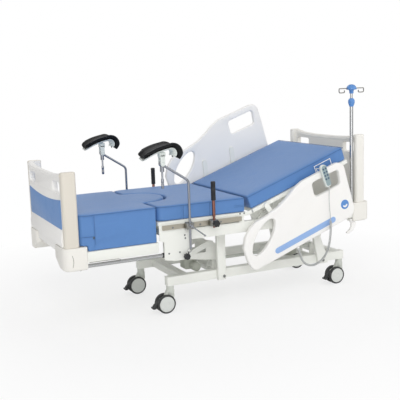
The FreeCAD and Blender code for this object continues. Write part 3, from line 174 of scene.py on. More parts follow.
class Finish:
    """A material while its nodes are set up."""

    def __init__(self, name, **constants):
        self.material = bpy.data.materials.new(name)
        self.material.use_nodes = True
        self.tree = self.material.node_tree
        self.shader = self.tree.nodes["Principled BSDF"]
        for socket, value in constants.items():
            self.shader.inputs[socket.replace("_", " ")].default_value = value
        self.place = self.node("ShaderNodeTexCoord").outputs["Object"]
        self.height = None

    def feed(self, socket, value):
        if isinstance(value, Sum):
            value = value.socket
        if isinstance(value, bpy.types.NodeSocket):
            self.tree.links.new(value, socket)
        else:
            socket.default_value = value

    def node(self, kind, settings=None, **sockets):
        made = self.tree.nodes.new(kind)
        for setting, value in (settings or {}).items():
            setattr(made, setting, value)
        for name, value in sockets.items():
            self.feed(made.inputs[name.replace("_", " ")], value)
        return made

    def where(self, stretch):
        if stretch is None:
            return self.place
        return self.node("ShaderNodeMapping", Vector=self.place, Scale=stretch).outputs["Vector"]

    def cloud(self, scale, detail=2.0, stretch=None):
        """Soft noise from 0 to 1."""
        made = self.node("ShaderNodeTexNoise", Vector=self.where(stretch), Scale=scale, Detail=detail)
        return Sum(self.tree, made.outputs["Fac"])

    def cells(self, scale, stretch=None):
        """Distance to the nearest of many scattered points, as in leather grain."""
        made = self.node("ShaderNodeTexVoronoi", {"feature": "F1"}, Vector=self.where(stretch), Scale=scale)
        return Sum(self.tree, made.outputs["Distance"])

    def along(self, axis):
        """Place along one of the bed's axes."""
        return Sum(self.tree, self.node("ShaderNodeSeparateXYZ", Vector=self.place).outputs[axis])

    def away(self):
        """Distance from the middle of the bed."""
        return Sum(self.tree, self.node("ShaderNodeVectorMath", {"operation": "LENGTH"}, Vector=self.place
                                        ).outputs["Value"])

    def band(self, value, low, high):
        """Spread the values between two levels over 0 to 1."""
        made = self.node("ShaderNodeMapRange", From_Min=low, From_Max=high)
        self.feed(made.inputs["Value"], value)
        return Sum(self.tree, made.outputs["Result"])

    def between(self, mask, first, second):
        made = self.node("ShaderNodeMix", {"data_type": "RGBA"})
        self.feed(made.inputs[0], mask)
        self.feed(made.inputs[6], first)
        self.feed(made.inputs[7], second)
        return made.outputs[2]

    def colour(self, value):
        self.feed(self.shader.inputs["Base Color"], value)

    def rough(self, value):
        self.feed(self.shader.inputs["Roughness"], value)

    def bump(self, height, strength, distance):
        made = self.node("ShaderNodeBump", Strength=strength, Distance=distance)
        self.feed(made.inputs["Height"], height)
        self.feed(self.shader.inputs["Normal"], made.outputs["Normal"])
        return self.material


def shade(colour, factor):
    return tuple(min(1.0, c * factor) for c in colour) + (1.0,)


def moulded(name, colour, gloss=0.38, grain=420.0, posts=None, inner=0.0):
    """Moulded plastic: fine spark grain, faint ageing in patches, light rubbing, and posts of another colour."""
    made = Finish(name, Specular_IOR_Level=0.5, Coat_Weight=0.06, Coat_Roughness=0.25)
    patches = made.cloud(3.2, 3.0)
    rubbed = made.band(made.cloud(24.0, 5.0), 0.52, 0.75)
    aged = made.between(patches, shade(colour, 1.0), shade((colour[0], colour[1] * 0.993, colour[2] * 0.98), 0.985))
    worn = made.between(rubbed * 0.25, aged, shade(colour, 0.965))
    if posts:
        beside = abs(made.along("Y")) > inner
        worn = made.between(beside, worn, made.between(patches, shade(posts, 1.0), shade(posts, 0.97)))
    made.colour(worn)
    made.rough(gloss + made.cloud(60.0, 3.0) * 0.12 + rubbed * 0.08)
    return made.bump(made.cloud(grain, 2.0) * 0.6 + made.cloud(grain * 3, 1.0) * 0.4, 0.12, 0.0004)


def coated(name, colour, gloss=0.42):
    """Powder coat: orange peel, and dust that dulls it in places."""
    made = Finish(name, Specular_IOR_Level=0.45)
    dust = made.band(made.cloud(7.0, 5.0), 0.42, 0.8)
    made.colour(made.between(dust * 0.5, shade(colour, 1.0), shade(colour, 0.93)))
    made.rough(gloss + dust * 0.14 + made.cloud(150.0) * 0.06)
    return made.bump(made.cloud(260.0, 2.0), 0.18, 0.0006)


def metal(name, colour, gloss, stretch, marks=0.08):
    """Plated or brushed metal, with streaks along the stretched axis."""
    made = Finish(name, Metallic=1.0)
    streaks = made.cloud(420.0, 3.0, stretch)
    smears = made.band(made.cloud(14.0, 4.0), 0.45, 0.8)
    made.colour(made.between(streaks * 0.5 + smears * 0.3, shade(colour, 1.0), shade(colour, 0.86)))
    made.rough(gloss + streaks * marks + smears * 0.08)
    return made.bump(streaks, 0.05, 0.0003)


def covering(name, colour, gloss, sheen, grain=620.0, shine=0.42):
    """Coated upholstery fabric: leather grain over a fine knit, with soft creases."""
    made = Finish(name, Sheen_Weight=sheen, Sheen_Roughness=0.45, Specular_IOR_Level=shine)
    tone = made.cloud(2.6, 4.0)
    scuffs = made.band(made.cloud(17.0, 6.0), 0.56, 0.78)
    base = made.between(tone, shade(colour, 0.95), shade(colour, 1.06))
    made.colour(made.between(scuffs * 0.22, base, shade(colour, 1.2)))
    made.rough(gloss + made.cloud(40.0, 3.0) * 0.12 + scuffs * 0.08)
    creases = made.cloud(9.0, 6.0, (1.0, 2.4, 1.0))
    knit = made.cells(grain) * 0.5 + made.cells(grain * 2.2, (1.0, 1.0, 1.6)) * 0.25
    return made.bump(knit + creases * 1.6, 0.32, 0.0011)


UPRIGHT_STREAKS = (20.0, 20.0, 1.0)


def rubber(name, colour, gloss=0.62):
    """Rubber or soft grip: matt, dusty in patches and finely pitted."""
    made = Finish(name, Specular_IOR_Level=0.35)
    dust = made.band(made.cloud(21.0, 5.0), 0.5, 0.85)
    made.colour(made.between(dust * 0.35, shade(colour, 1.0), shade((0.5, 0.5, 0.5), 0.35)))
    made.rough(gloss + dust * 0.15)
    return made.bump(made.cells(900.0), 0.3, 0.0005)


FINISH_TABLE = {
    "frame_paint": (coated, "paint"),
    "drive_plastic": (moulded, "drive", 0.5),
    "wheel_grey": (moulded, "DADDDA", 0.4),
    "pedal_plastic": (moulded, "3B3D3E", 0.5),
    "steel_rod": (metal, "C9CBCB", 0.24, (1.0, 30.0, 30.0)),
    "stainless": (metal, "BAB4A6", 0.22, (1.0, 24.0, 24.0), 0.14),
    "black_plastic": (moulded, "1F2124", 0.38),
    "mattress_cover": (covering, "cover", 0.44, 0.16),
    "chrome_tube": (metal, "C6C7C8", 0.14, UPRIGHT_STREAKS, 0.05),
    "ivory_plastic": (moulded, "cover_shell", 0.42),
    "blue_plastic": (moulded, "5B8FD0", 0.32),
    "black_pad": (covering, "pad", 0.5, 0.0, 700.0, 0.24),
    "clamp_metal": (metal, "969693", 0.3, (6.0, 6.0, 6.0), 0.12),
    "grip_rubber": (rubber, "2A2B2D"),
    "handset_plastic": (moulded, "DEE4E1", 0.4),
    "cord_sheath": (rubber, "C3C5C4", 0.5),
    "white_shell": (moulded, "shell", 0.36),
    "bronze_rod": (metal, "8A5F54", 0.3, UPRIGHT_STREAKS, 0.1),
    "rod_chrome": (metal, "9C9FA6", 0.12, UPRIGHT_STREAKS, 0.05),
    "hook_wire": (metal, "8C8A86", 0.3, (8.0, 8.0, 8.0), 0.08),
    "lift_paint": (coated, "CDD0C9", 0.46),
    "rail_stripe": (moulded, "stripe", 0.36),
    "board_inset": (moulded, "inset", 0.36),
    "tyre": (rubber, "3E3F40", 0.6),
    # Lighter grey for the wires along the leg pads' rims: a painted highlight on the black pad's edges.
    "pad_welt": (rubber, "3A3B3E", 0.4),
    "keypad_face": (moulded, "93A6AA", 0.42),
    "key_cap": (rubber, "4A5F76", 0.5),
    "screw_steel": (metal, "8F9190", 0.3, (8.0, 8.0, 8.0), 0.1),
    # Grey for the wires that stand for slits and grooves: painted shade inside them.
    "dark_gap": (rubber, "8C8A82", 0.7),
}


def set_up_finishes(colours):
    """Every finish of the bed."""
    for name, (maker, colour, *rest) in FINISH_TABLE.items():
        chosen = getattr(colours, colour, None) or linear(colour)
        FINISHES[name] = maker(name, tuple(chosen), *rest)
    FINISHES["board_shell"] = moulded("board_shell", tuple(colours.shell), 0.36, posts=tuple(colours.post),
                                      inner=POST_INNER * MM)
    # The seam colour is a darker copy of the cover colour: painted shade along the piping and sewn lines.
    FINISHES["seam_thread"] = rubber("seam_thread", tuple(c * 0.62 for c in colours.cover), 0.7)


def belong(made, body, finish, *nodes):
    """Ride a finished piece on its body and hide the CAD nodes that it stands for."""
    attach(made, body)
    if nodes:
        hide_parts(*nodes)
    return made


def link(name, data):
    made = bpy.data.objects.new(name, data)
    bpy.context.scene.collection.objects.link(made)
    return made


def used_up(helper, update=True):
    """What Blender makes of a helper object, as a plain mesh; the helper then goes."""
    if update:
        bpy.context.view_layer.update()
    mesh = bpy.data.meshes.new_from_object(helper.evaluated_get(bpy.context.evaluated_depsgraph_get()))
    bpy.data.objects.remove(helper)
    return mesh


def as_mesh(name, bm):
    mesh = bpy.data.meshes.new(name)
    bm.to_mesh(mesh)
    bm.free()
    return mesh


def settle(name, bm, finish, angle=34.0, outward=True):
    """Close a bmesh into a named piece with smooth faces and sharp creases."""
    bmesh.ops.remove_doubles(bm, verts=bm.verts, dist=2e-6)
    if outward:
        bmesh.ops.recalc_face_normals(bm, faces=bm.faces)
    mesh = as_mesh(name, bm)
    mesh.materials.clear()
    mesh.materials.append(FINISHES[finish])
    for face in mesh.polygons:
        face.material_index = 0
    mesh.shade_smooth()
    mesh.set_sharp_from_angle(angle=math.radians(angle))
    return link(name, mesh)


def piece(name, bm, finish, body, *nodes, angle=34.0):
    """A finished piece that rides on a body and stands for the CAD nodes named."""
    return belong(settle(name, bm, finish, angle), body, finish, *nodes)


def body_of(node):
    return frame["nodes"][node]["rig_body"]


def box_of(node):
    """A node's lowest and highest corners in millimetres."""
    return [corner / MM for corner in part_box(node)]


def on_back(spot):
    """A place given along, across and above the back section, in millimetres, as a place in the frame."""
    s, y, n = spot
    x = CREASE[0] + s * math.cos(BACK_TILT) - n * math.sin(BACK_TILT)
    z = CREASE[2] + s * math.sin(BACK_TILT) + n * math.cos(BACK_TILT)
    return Vector((x, y, z)) * MM


def upright(spot):
    return Vector(spot) * MM


def arc(centre, radius, start, stop, steps=10):
    """Points on an arc, in degrees, both ends included."""
    turns = [math.radians(start + (stop - start) * i / steps) for i in range(steps + 1)]
    return [(centre[0] + radius * math.cos(t), centre[1] + radius * math.sin(t)) for t in turns]


PLANES = {"XY": (0, 1, 2), "XZ": (0, 2, 1), "YZ": (1, 2, 0)}


def prism(bm, plane, outline, low, high, where=upright):
    """Add a straight solid between two levels, from an outline in millimetres."""
    first, second, third = PLANES[plane]
    rings = []
    for level in (low, high):
        ring = []
        for pair in outline:
            spot = [0.0, 0.0, 0.0]
            spot[first], spot[second], spot[third] = pair[0], pair[1], level
            ring.append(bm.verts.new(where(spot)))
        rings.append(ring)
    faces = [bm.faces.new(rings[0]), bm.faces.new(list(reversed(rings[1])))]
    count = len(outline)
    for i in range(count):
        j = (i + 1) % count
        faces.append(bm.faces.new((rings[0][j], rings[0][i], rings[1][i], rings[1][j])))
    return faces


def crisp_edges(bm, least=30.0):
    """Edges whose two faces meet at more than an angle."""
    bm.normal_update()
    limit = math.radians(least)
    return [e for e in bm.edges if len(e.link_faces) == 2 and e.calc_face_angle(0) > limit]


def held(value, low, high):
    return min(max(value, low), high)


def roomy(edge, width):
    """Whether both faces of an edge leave room for its rounding."""
    start, stop = (v.co for v in edge.verts)
    way = (stop - start).normalized()
    for face in edge.link_faces:
        for vert in face.verts:
            if vert in edge.verts:
                continue
            gap = vert.co - (start + way * held((vert.co - start).dot(way), 0, (stop - start).length))
            if gap.length < 2.2 * width * MM and abs(gap.normalized().dot(way)) < 0.6:
                return False
    return True


def not_rings(edges, skip):
    """Leave out small closed groups of edges, such as the rims of bores."""
    wanted = set(edges)
    kept = []
    while wanted:
        group = [wanted.pop()]
        for edge in group:
            for vert in edge.verts:
                for other in vert.link_edges:
                    if other in wanted:
                        wanted.discard(other)
                        group.append(other)
        spots = [v.co for e in group for v in e.verts]
        reach = max(max(s[i] for s in spots) - min(s[i] for s in spots) for i in range(3))
        if reach > skip * MM:
            kept += group
    return kept


def soften(bm, width, segments=3, skip=0.0, least=30.0, careful=False):
    """Round the crisp edges by a width in millimetres."""
    edges = crisp_edges(bm, least)
    if skip:
        edges = not_rings(edges, skip)
    if careful:
        edges = [e for e in edges if roomy(e, width)]
    bmesh.ops.bevel(bm, geom=edges, offset=width * MM, segments=segments, profile=0.5, affect="EDGES",
                    clamp_overlap=False)
    return bm


def sound(bm, shape, reach):
    """Whether a rounded shape stayed near its source and none of its faces is folded."""
    if any(shape.find_nearest(v.co)[3] > reach * MM for v in bm.verts):
        return False
    bm.faces.index_update()
    covered = [0.0] * len(bm.faces)
    for corners in bm.calc_loop_triangles():
        covered[corners[0].face.index] += area_tri(*(c.vert.co for c in corners))
    return all(covered[f.index] - f.calc_area() < 6e-6 + 0.002 * f.calc_area() for f in bm.faces)


def close_holes(bm):
    bmesh.ops.holes_fill(bm, edges=[e for e in bm.edges if len(e.link_faces) == 1])


def cad_copy(node):
    """A merged copy of a CAD node's mesh with its flat faces joined up."""
    bm = joined([frame["nodes"][node].data])
    bmesh.ops.remove_doubles(bm, verts=bm.verts, dist=3e-6)
    bmesh.ops.dissolve_limit(bm, angle_limit=math.radians(0.5), verts=bm.verts, edges=bm.edges)
    return bm


def rounded_copy(node, finish, width, segments=3, skip=0.0, careful=True):
    """A piece that stands for a CAD node, with its edges as soft as the shape has room for."""
    whole = cad_copy(node)
    shape = BVHTree.FromBMesh(whole)
    whole.free()
    bm = soften(cad_copy(node), width, segments, skip, careful=careful)
    while careful and width > 0.3 and not sound(bm, shape, 0.42 * width + 0.2):
        bm.free()
        width *= 0.75
        bm = soften(cad_copy(node), width, segments, skip, careful=True)
    return belong(settle(f"{node}_finished", bm, finish, outward=False), body_of(node), finish, node)


def carry(node, finish):
    """A CAD node that keeps its own mesh and gets its finish."""
    for place in frame["nodes"][node].material_slots:
        place.material = FINISHES[finish]


TURNS = {"x": Matrix.Rotation(math.pi / 2, 3, "Y"), "y": Matrix.Rotation(-math.pi / 2, 3, "X"),
         "z": Matrix.Identity(3)}


def lathe(bm, profile, centre, axis="z", steps=40, closed=False, where=upright):
    """Add a turned solid; the profile is pairs of radius and height in millimetres."""
    turn = TURNS[axis]
    rings = []
    for radius, height in profile:
        if radius < 1e-6:
            spots = [Vector((0, 0, height))]
        else:
            spots = [Vector((radius * math.cos(2 * math.pi * i / steps), radius * math.sin(2 * math.pi * i / steps),
                             height)) for i in range(steps)]
        rings.append([bm.verts.new(where(Vector(centre) + turn @ s)) for s in spots])
    pairs = list(zip(rings, rings[1:]))
    if closed:
        pairs.append((rings[-1], rings[0]))
    for low, high in pairs:
        for i in range(steps):
            j = (i + 1) % steps
            corners = [low[i % len(low)], low[j % len(low)], high[j % len(high)], high[i % len(high)]]
            unique = list(dict.fromkeys(corners))
            if len(unique) > 2:
                bm.faces.new(unique)
    return bm


def spline(name, points, smooth=True, closed=False, resolution=12):
    """A curve of one spline through control points in metres."""
    curve = bpy.data.curves.new(name, "CURVE")
    curve.dimensions = "3D"
    line = curve.splines.new("NURBS" if smooth else "POLY")
    line.points.add(len(points) - 1)
    for knot, spot in zip(line.points, points):
        knot.co = (*spot, 1.0)
    if smooth:
        line.order_u = 3
        line.use_endpoint_u = not closed
        line.resolution_u = resolution
    line.use_cyclic_u = closed
    return curve


def thicken(curve, radius, sides):
    curve.bevel_depth = radius
    curve.bevel_resolution = sides
    curve.use_fill_caps = True
    return curve


def wire_mesh(name, points, radius, smooth=True, closed=False, sides=3):
    """A round wire along points in metres, as a plain mesh."""
    curve = thicken(spline(name, points, smooth, closed, 6), radius, sides)
    return used_up(link(name + "_line", curve))


def joined(meshes):
    """Several meshes as one bmesh."""
    bm = bmesh.new()
    for mesh in meshes:
        bm.from_mesh(mesh)
    return bm


def slab(plane, outline, low, high, where=upright, rounding=None):
    """A straight solid of its own, with its edges rounded where that is given."""
    bm = bmesh.new()
    prism(bm, plane, outline, low, high, where)
    if rounding:
        soften(bm, *rounding)
    return bm


def turned(profile, centre, axis="z", steps=40, closed=False, where=upright):
    return lathe(bmesh.new(), profile, centre, axis, steps, closed, where)


def tree_with(name, **sockets):
    """An empty geometry node tree with named inputs; returns it with its first and last nodes."""
    tree = bpy.data.node_groups.new(name, "GeometryNodeTree")
    tree.interface.new_socket("Geometry", in_out="OUTPUT", socket_type="NodeSocketGeometry")
    for label, kind in sockets.items():
        tree.interface.new_socket(label.replace("_", " "), in_out="INPUT", socket_type="NodeSocket" + kind)
    return tree, tree.nodes.new("NodeGroupInput"), tree.nodes.new("NodeGroupOutput")


def add_nodes(tree, *kinds):
    return [tree.nodes.new(kind) for kind in kinds]


def join_up(tree, *pairs):
    """Link sockets, each pair written as a node and its output, then a node and its input."""
    for source, out, target, into in pairs:
        tree.links.new(source.outputs[out], target.inputs[into])


def real_copies(tree, start, end, copies):
    """The end of both trees: the copies made real and given their finish."""
    real, cover = add_nodes(tree, "GeometryNodeRealizeInstances", "GeometryNodeSetMaterial")
    join_up(tree, (copies, "Instances", real, "Geometry"), (real, "Geometry", cover, "Geometry"),
            (start, "Finish", cover, "Material"), (cover, "Geometry", end, "Geometry"))
    return tree


def run_tree(name, tree, start, **values):
    """Run a tree on a start mesh and return the result as a plain mesh."""
    holder = link(name, start)
    modifier = holder.modifiers.new("Repeat", "NODES")
    modifier.node_group = tree
    named = {item.name: item.identifier for item in tree.interface.items_tree if item.in_out == "INPUT"}
    for label, value in values.items():
        modifier[named[label.replace("_", " ")]] = value
    return used_up(holder)


def scatter_tree():
    """Copies of one shape on the points of a mesh, each facing the way that the point says."""
    tree, start, end = tree_with("Copies on points", Points="Geometry", Shape="Object", Size="Float",
                                 Finish="Material")
    facing, align, shape, copies = add_nodes(tree, "GeometryNodeInputNamedAttribute",
                                             "FunctionNodeAlignRotationToVector", "GeometryNodeObjectInfo",
                                             "GeometryNodeInstanceOnPoints")
    facing.data_type = "FLOAT_VECTOR"
    facing.inputs["Name"].default_value = "facing"
    align.axis = "Z"
    join_up(tree, (facing, "Attribute", align, "Vector"), (start, "Shape", shape, "Object"),
            (start, "Points", copies, "Points"), (shape, "Geometry", copies, "Instance"),
            (align, "Rotation", copies, "Rotation"), (start, "Size", copies, "Scale"))
    return real_copies(tree, start, end, copies)


def scatter(name, body, finish, spots, size, shape):
    """One piece of many like copies; spots are pairs of a place in metres and the way each faces."""
    tree = bpy.data.node_groups.get("Copies on points") or scatter_tree()
    mesh = bpy.data.meshes.new(name + "_points")
    mesh.from_pydata([tuple(place) for place, _ in spots], [], [])
    facing = mesh.attributes.new("facing", "FLOAT_VECTOR", "POINT")
    for i, (_, way) in enumerate(spots):
        facing.data[i].vector = way
    pattern = link(name + "_shape", shape)
    copies = run_tree(name + "_copies", tree, mesh, Shape=pattern, Size=size, Finish=FINISHES[finish])
    bpy.data.objects.remove(pattern)
    return piece(name, joined([copies]), finish, body)


def rib_tree():
    """Rings in a row, for ribbed grips and sleeves."""
    tree, start, end = tree_with("Ring row", Geometry="Geometry", Count="Int", Step="Vector", Foot="Vector",
                                 Ring_radius="Float", Rib_radius="Float", Finish="Material")
    row, ring, rib, body, copies = add_nodes(tree, "GeometryNodeMeshLine", "GeometryNodeCurvePrimitiveCircle",
                                             "GeometryNodeCurvePrimitiveCircle", "GeometryNodeCurveToMesh",
                                             "GeometryNodeInstanceOnPoints")
    ring.inputs["Resolution"].default_value = 36
    rib.inputs["Resolution"].default_value = 8
    join_up(tree, (start, "Count", row, "Count"), (start, "Foot", row, "Start Location"),
            (start, "Step", row, "Offset"), (start, "Ring radius", ring, "Radius"),
            (start, "Rib radius", rib, "Radius"), (ring, "Curve", body, "Curve"),
            (rib, "Curve", body, "Profile Curve"), (row, "Mesh", copies, "Points"),
            (body, "Mesh", copies, "Instance"))
    return real_copies(tree, start, end, copies)


def ribs(name, finish, **sizes):
    tree = bpy.data.node_groups.get("Ring row") or rib_tree()
    return run_tree(name, tree, bpy.data.meshes.new(name), Finish=FINISHES[finish], **sizes)


def screw_head():
    """A low domed head with a six-sided recess."""
    bm = turned([(0, -0.2), (1, -0.2), (1, 0.12), (0.86, 0.3), (0.6, 0.38), (0.42, 0.38)], (0, 0, 0), steps=18,
                where=Vector)
    rim = [e for e in bm.edges if len(e.link_faces) == 1 and all(abs(v.co.z - 0.38) < 0.01 for v in e.verts)]
    low = bmesh.ops.extrude_edge_only(bm, edges=rim)["geom"]
    for vert in [g for g in low if isinstance(g, bmesh.types.BMVert)]:
        vert.co.z = 0.1
    close_holes(bm)
    return as_mesh("screw_head", bm)


# Soft pieces

def swell(mesh, voxel, most, inside, pressure=4.0):
    """Remesh a closed shape, let its filling push the cover out, and keep it inside its place."""
    holder = link("filling", mesh)
    grid = holder.modifiers.new("Grid", "REMESH")
    grid.mode = "VOXEL"
    grid.voxel_size = voxel
    start = used_up(holder)
    scene = bpy.context.scene
    cover = link("cover", start.copy())
    cloth = cover.modifiers.new("Cloth", "CLOTH")
    cloth.settings.quality = 4
    cloth.settings.use_pressure = True
    cloth.settings.uniform_pressure_force = pressure
    cloth.settings.effector_weights.gravity = 0.0
    cloth.collision_settings.use_collision = False
    for step in range(1, 21):
        scene.frame_set(step)
    moved = used_up(cover, update=False)
    scene.frame_set(1)
    for rest, now in zip(start.vertices, moved.vertices):
        shift = now.co - rest.co
        if shift.length > most:
            shift *= most / shift.length
        rest.co = rest.co + shift
    holder = link("filled", start)
    finer = holder.modifiers.new("Finer", "SUBSURF")
    finer.levels = finer.render_levels = 1
    final = used_up(holder)
    for vert in final.vertices:
        vert.co = inside(vert.co)
    return final


def unevenness(spot, size):
    """Slight lumps of a worn filling, from 0 to 1."""
    return noise.noise(spot * size) * 0.5 + noise.noise(spot * size * 2.7) * 0.25


def sewn(mesh, dents, depth):
    """Pull vertices inwards along the sewn seams; a dent is a function from 0 to 1 of a place."""
    mesh.update()
    normals = [v.normal.copy() for v in mesh.vertices]
    for vert, normal in zip(mesh.vertices, normals):
        pull = max((dent(vert.co) for dent in dents), default=0.0)
        lump = unevenness(vert.co, 9.0) * 0.0011
        vert.co -= normal * (pull * depth + lump + 0.0004)
    return mesh


def ridge(distance, width):
    return math.exp(-(distance / (width * MM)) ** 2)


def side_seam(x):
    """A seam that runs down both long sides at one place along the bed."""
    return lambda p: ridge(p.x - x * MM, 7) if abs(p.y) > (MATTRESS_HALF - 12) * MM else 0.0


def border_seam(level, low, high):
    """A seam round the sides just under the top."""
    def dent(p):
        beside = abs(p.y) > (MATTRESS_HALF - 8) * MM or p.x < (low + 8) * MM or p.x > (high - 8) * MM
        return ridge(p.z - level * MM, 5) * 0.7 if beside else 0.0
    return dent


def round_end(end, half, turn, way):
    """The two rounded corners of a mattress block; way is 1 at the head and -1 at the foot."""
    corner = end - way * turn
    if way > 0:
        return arc((corner, turn - half), turn, 270, 360, 6) + arc((corner, half - turn), turn, 0, 90, 6)
    return arc((corner, half - turn), turn, 90, 180, 6) + arc((corner, turn - half), turn, 180, 270, 6)


def seat_outline(inset):
    """The seat block from above, notched at its foot end for the foot section's tongue."""
    half = MATTRESS_HALF - inset
    foot, head = SEAM_X + 1.5 + inset, CREASE[0] - 1.5 - inset
    notch = TONGUE + 1.5 + inset
    rim = math.degrees(math.acos((foot - SEAM_X) / notch))
    corners = round_end(foot, half, 48 - inset, -1)
    return [(head, -half), (head, half)] + corners[:7] + arc((SEAM_X, 0), notch, rim, -rim, 30) + corners[7:]


def foot_outline(inset):
    half = MATTRESS_HALF - inset
    return [(SEAM_X - inset, -half), (SEAM_X - inset, half)] + round_end(FOOT_X + inset, half, 30 - inset, -1)


def back_outline(inset):
    half = MATTRESS_HALF - inset
    return [(1.5 + inset, half), (1.5 + inset, -half)] + round_end(BACK_LONG - inset, half, 15 - inset, 1)


def within(p, along, high):
    """A place in millimetres, held inside the mattress's width and two ranges."""
    x, y, z = (v / MM for v in p)
    return held(x, *along), held(y, -MATTRESS_HALF, MATTRESS_HALF), held(z, *high)


def seat_space(p):
    """Keep a place inside the seat block's room."""
    x, y, z = within(p, (SEAM_X + 1.5, CREASE[0] - 1.5), (640.6, 743))
    out = math.hypot(x - SEAM_X, y)
    if out < TONGUE + 1.5:
        x, y = (SEAM_X + (x - SEAM_X) * (TONGUE + 1.5) / max(out, 1), y * (TONGUE + 1.5) / max(out, 1))
    return upright((x, y, z))


def foot_space(p):
    """Keep a place inside the foot block's room: under the tongue and between the corner covers."""
    x, y, z = within(p, (FOOT_X, -300), (511.6, 743))
    if x > SEAM_X:
        out = math.hypot(x - SEAM_X, y)
        if z < 636:
            x = SEAM_X
        elif out > TONGUE:
            x, y = (SEAM_X + (x - SEAM_X) * TONGUE / out, y * TONGUE / out) if abs(y) < TONGUE else (SEAM_X, y)
        z = max(z, 641.8) if x > SEAM_X + 1 and out < 205 and z >= 636 else z
    if z < 547.5 and abs(y) > 237.5 and x < -972:
        if z > 540:
            z = 547.5
        elif x > -980:
            x = -972
        else:
            y = math.copysign(237.5, y)
    return upright((x, y, z))


def back_space(p):
    return upright(within(p, (1.5, BACK_LONG), (-96.7, 2)))


def filled(name, solids, space, dents, sizes):
    """A mattress block from stacked prisms, swollen and sewn."""
    bm = bmesh.new()
    for outline, low, high in solids:
        prism(bm, "XY", outline, low, high)
    bmesh.ops.recalc_face_normals(bm, faces=bm.faces)
    return sewn(swell(as_mesh(name, bm), sizes.voxel, sizes.swell, space), dents, sizes.seam)


def as_padded(name, mesh, finish, body, node):
    mesh.materials.clear()
    mesh.materials.append(FINISHES[finish])
    mesh.shade_smooth()
    return belong(link(name, mesh), body, finish, node)


class BED_OT_mattresses(bpy.types.Operator):
    """Make the three mattress blocks with their seams"""

    bl_idname = "bed.mattresses"
    bl_label = "Mattresses"

    def execute(self, context):
        sizes = context.scene.bed_sizes
        inset = 3.2
        half, top, seam = MATTRESS_HALF - inset, CREASE[2] - inset, SEAM_X - inset
        seat = filled("seat", [(seat_outline(inset), 641, top)], seat_space,
                      [side_seam(-335), side_seam(-150), border_seam(731, -512, 116)], sizes)
        solids = [(foot_outline(inset), 549, top),
                  ([(-970, -half), (seam, -half), (seam, half), (-970, half)], 512, 600),
                  ([(FOOT_X + inset, -232), (-800, -232), (-800, 232), (FOOT_X + inset, 232)], 512, 600),
                  (arc((SEAM_X, 0), TONGUE - inset, 0, 350, 35), 643, top)]
        foot = filled("foot", solids, foot_space, [side_seam(-920), border_seam(731, -1021, 5000)], sizes)
        back = filled("back", [(back_outline(inset), -96.5, -inset)], back_space,
                      [border_seam(-10, -5000, BACK_LONG)], sizes)
        for vert in back.vertices:
            vert.co = on_back(vert.co / MM)
        for name, mesh, body in (("seat", seat, "bed"), ("foot", foot, "foot_section"), ("back", back, "back")):
            as_padded(f"{name}_mattress_cover", mesh, "mattress_cover", body, f"{name}_mattress")
        self.seams(sizes.piping)
        return {"FINISHED"}

    # A thin wire along a sewn line, in the darker seam colour: painted shade in the seam.
    def thread(self, radius, *spots):
        return wire_mesh("thread", [upright(spot) for spot in spots], radius, False, sides=1)

    def border(self, outline, level, radius, where=upright, closed=True):
        """Piping round an outline at one height."""
        line = [where((x, y, level)) for x, y in outline]
        return wire_mesh("piping", line, radius, False, closed, sides=2)

    def seams(self, radius):
        """Piping round each top and the sewn lines on the sides: real seams, drawn in a darker copy of the cover
        colour that paints the shade along them.
        """
        rim = [p for p in seat_outline(1.2) if math.hypot(p[0] - SEAM_X, p[1]) > TONGUE + 4]
        turn = max(range(len(rim)), key=lambda i: (Vector(rim[i]) - Vector(rim[i - 1])).length if
                   rim[i][0] < -500 and rim[i - 1][0] < -500 else 0)
        bed = [self.border(rim[turn:] + rim[:turn], 731, radius, closed=False)]
        foot = [self.border(foot_outline(1.2)[1:] + foot_outline(1.2)[:1], 731, radius)]
        back = [self.border(back_outline(1.2), -10, radius, on_back)]
        for y in (1.5 - MATTRESS_HALF, MATTRESS_HALF - 1.5):
            bed += [self.thread(0.0009, (x, y, 643), (x, y, 729)) for x in (-335, -150)]
            bed += [self.thread(0.0008, (26, y, z), (112, y, z - 1)) for z in (680, 689)]
            foot += [self.thread(0.0009, (-920, y, 549), (-920, y, 729)),
                     self.thread(0.0013, (-1016, y, 604), (-970, y, 602), (-924, y, 601))]
        for name, lines, body in (("seat", bed, "bed"), ("foot", foot, "foot_section"), ("back", back, "back")):
            # Piping and sewn lines take the darker seam colour: painted shade along the seams.
            piece(f"{name}_piping_line", joined(lines), "seam_thread", body)
        pulls = bmesh.new()
        for side in (-1, 1):
            prism(pulls, "XZ", [(-934, 586), (-923, 586), (-922, 598), (-925, 603), (-932, 603), (-935, 598)],
                  side * (MATTRESS_HALF - 1.5), side * (MATTRESS_HALF + 2.5))
        piece("foot_zip_pulls", soften(pulls, 1.0, 2), "key_cap", "foot_section")


def saddle_line(x, z, lift, steps=12):
    """Stations along a leg support: place and outward direction, straight along the calf and then curling over."""
    start = Vector((x - 126, 0, z - 22 + lift))
    crown = Vector((x + 38, 0, z + 36 + lift))
    way = (crown - start).normalized()
    up = Vector((-way.z, 0, way.x))
    radius = 24 + lift
    centre = crown - up * radius
    line = [(start.lerp(crown, i / steps) + up * 9 * math.sin(math.pi * i / steps), up) for i in range(steps)]
    for i in range(steps + 1):
        turn = math.radians(152) * i / steps
        out = up * math.cos(turn) + way * math.sin(turn)
        line.append((centre + out * radius, out))
    return line


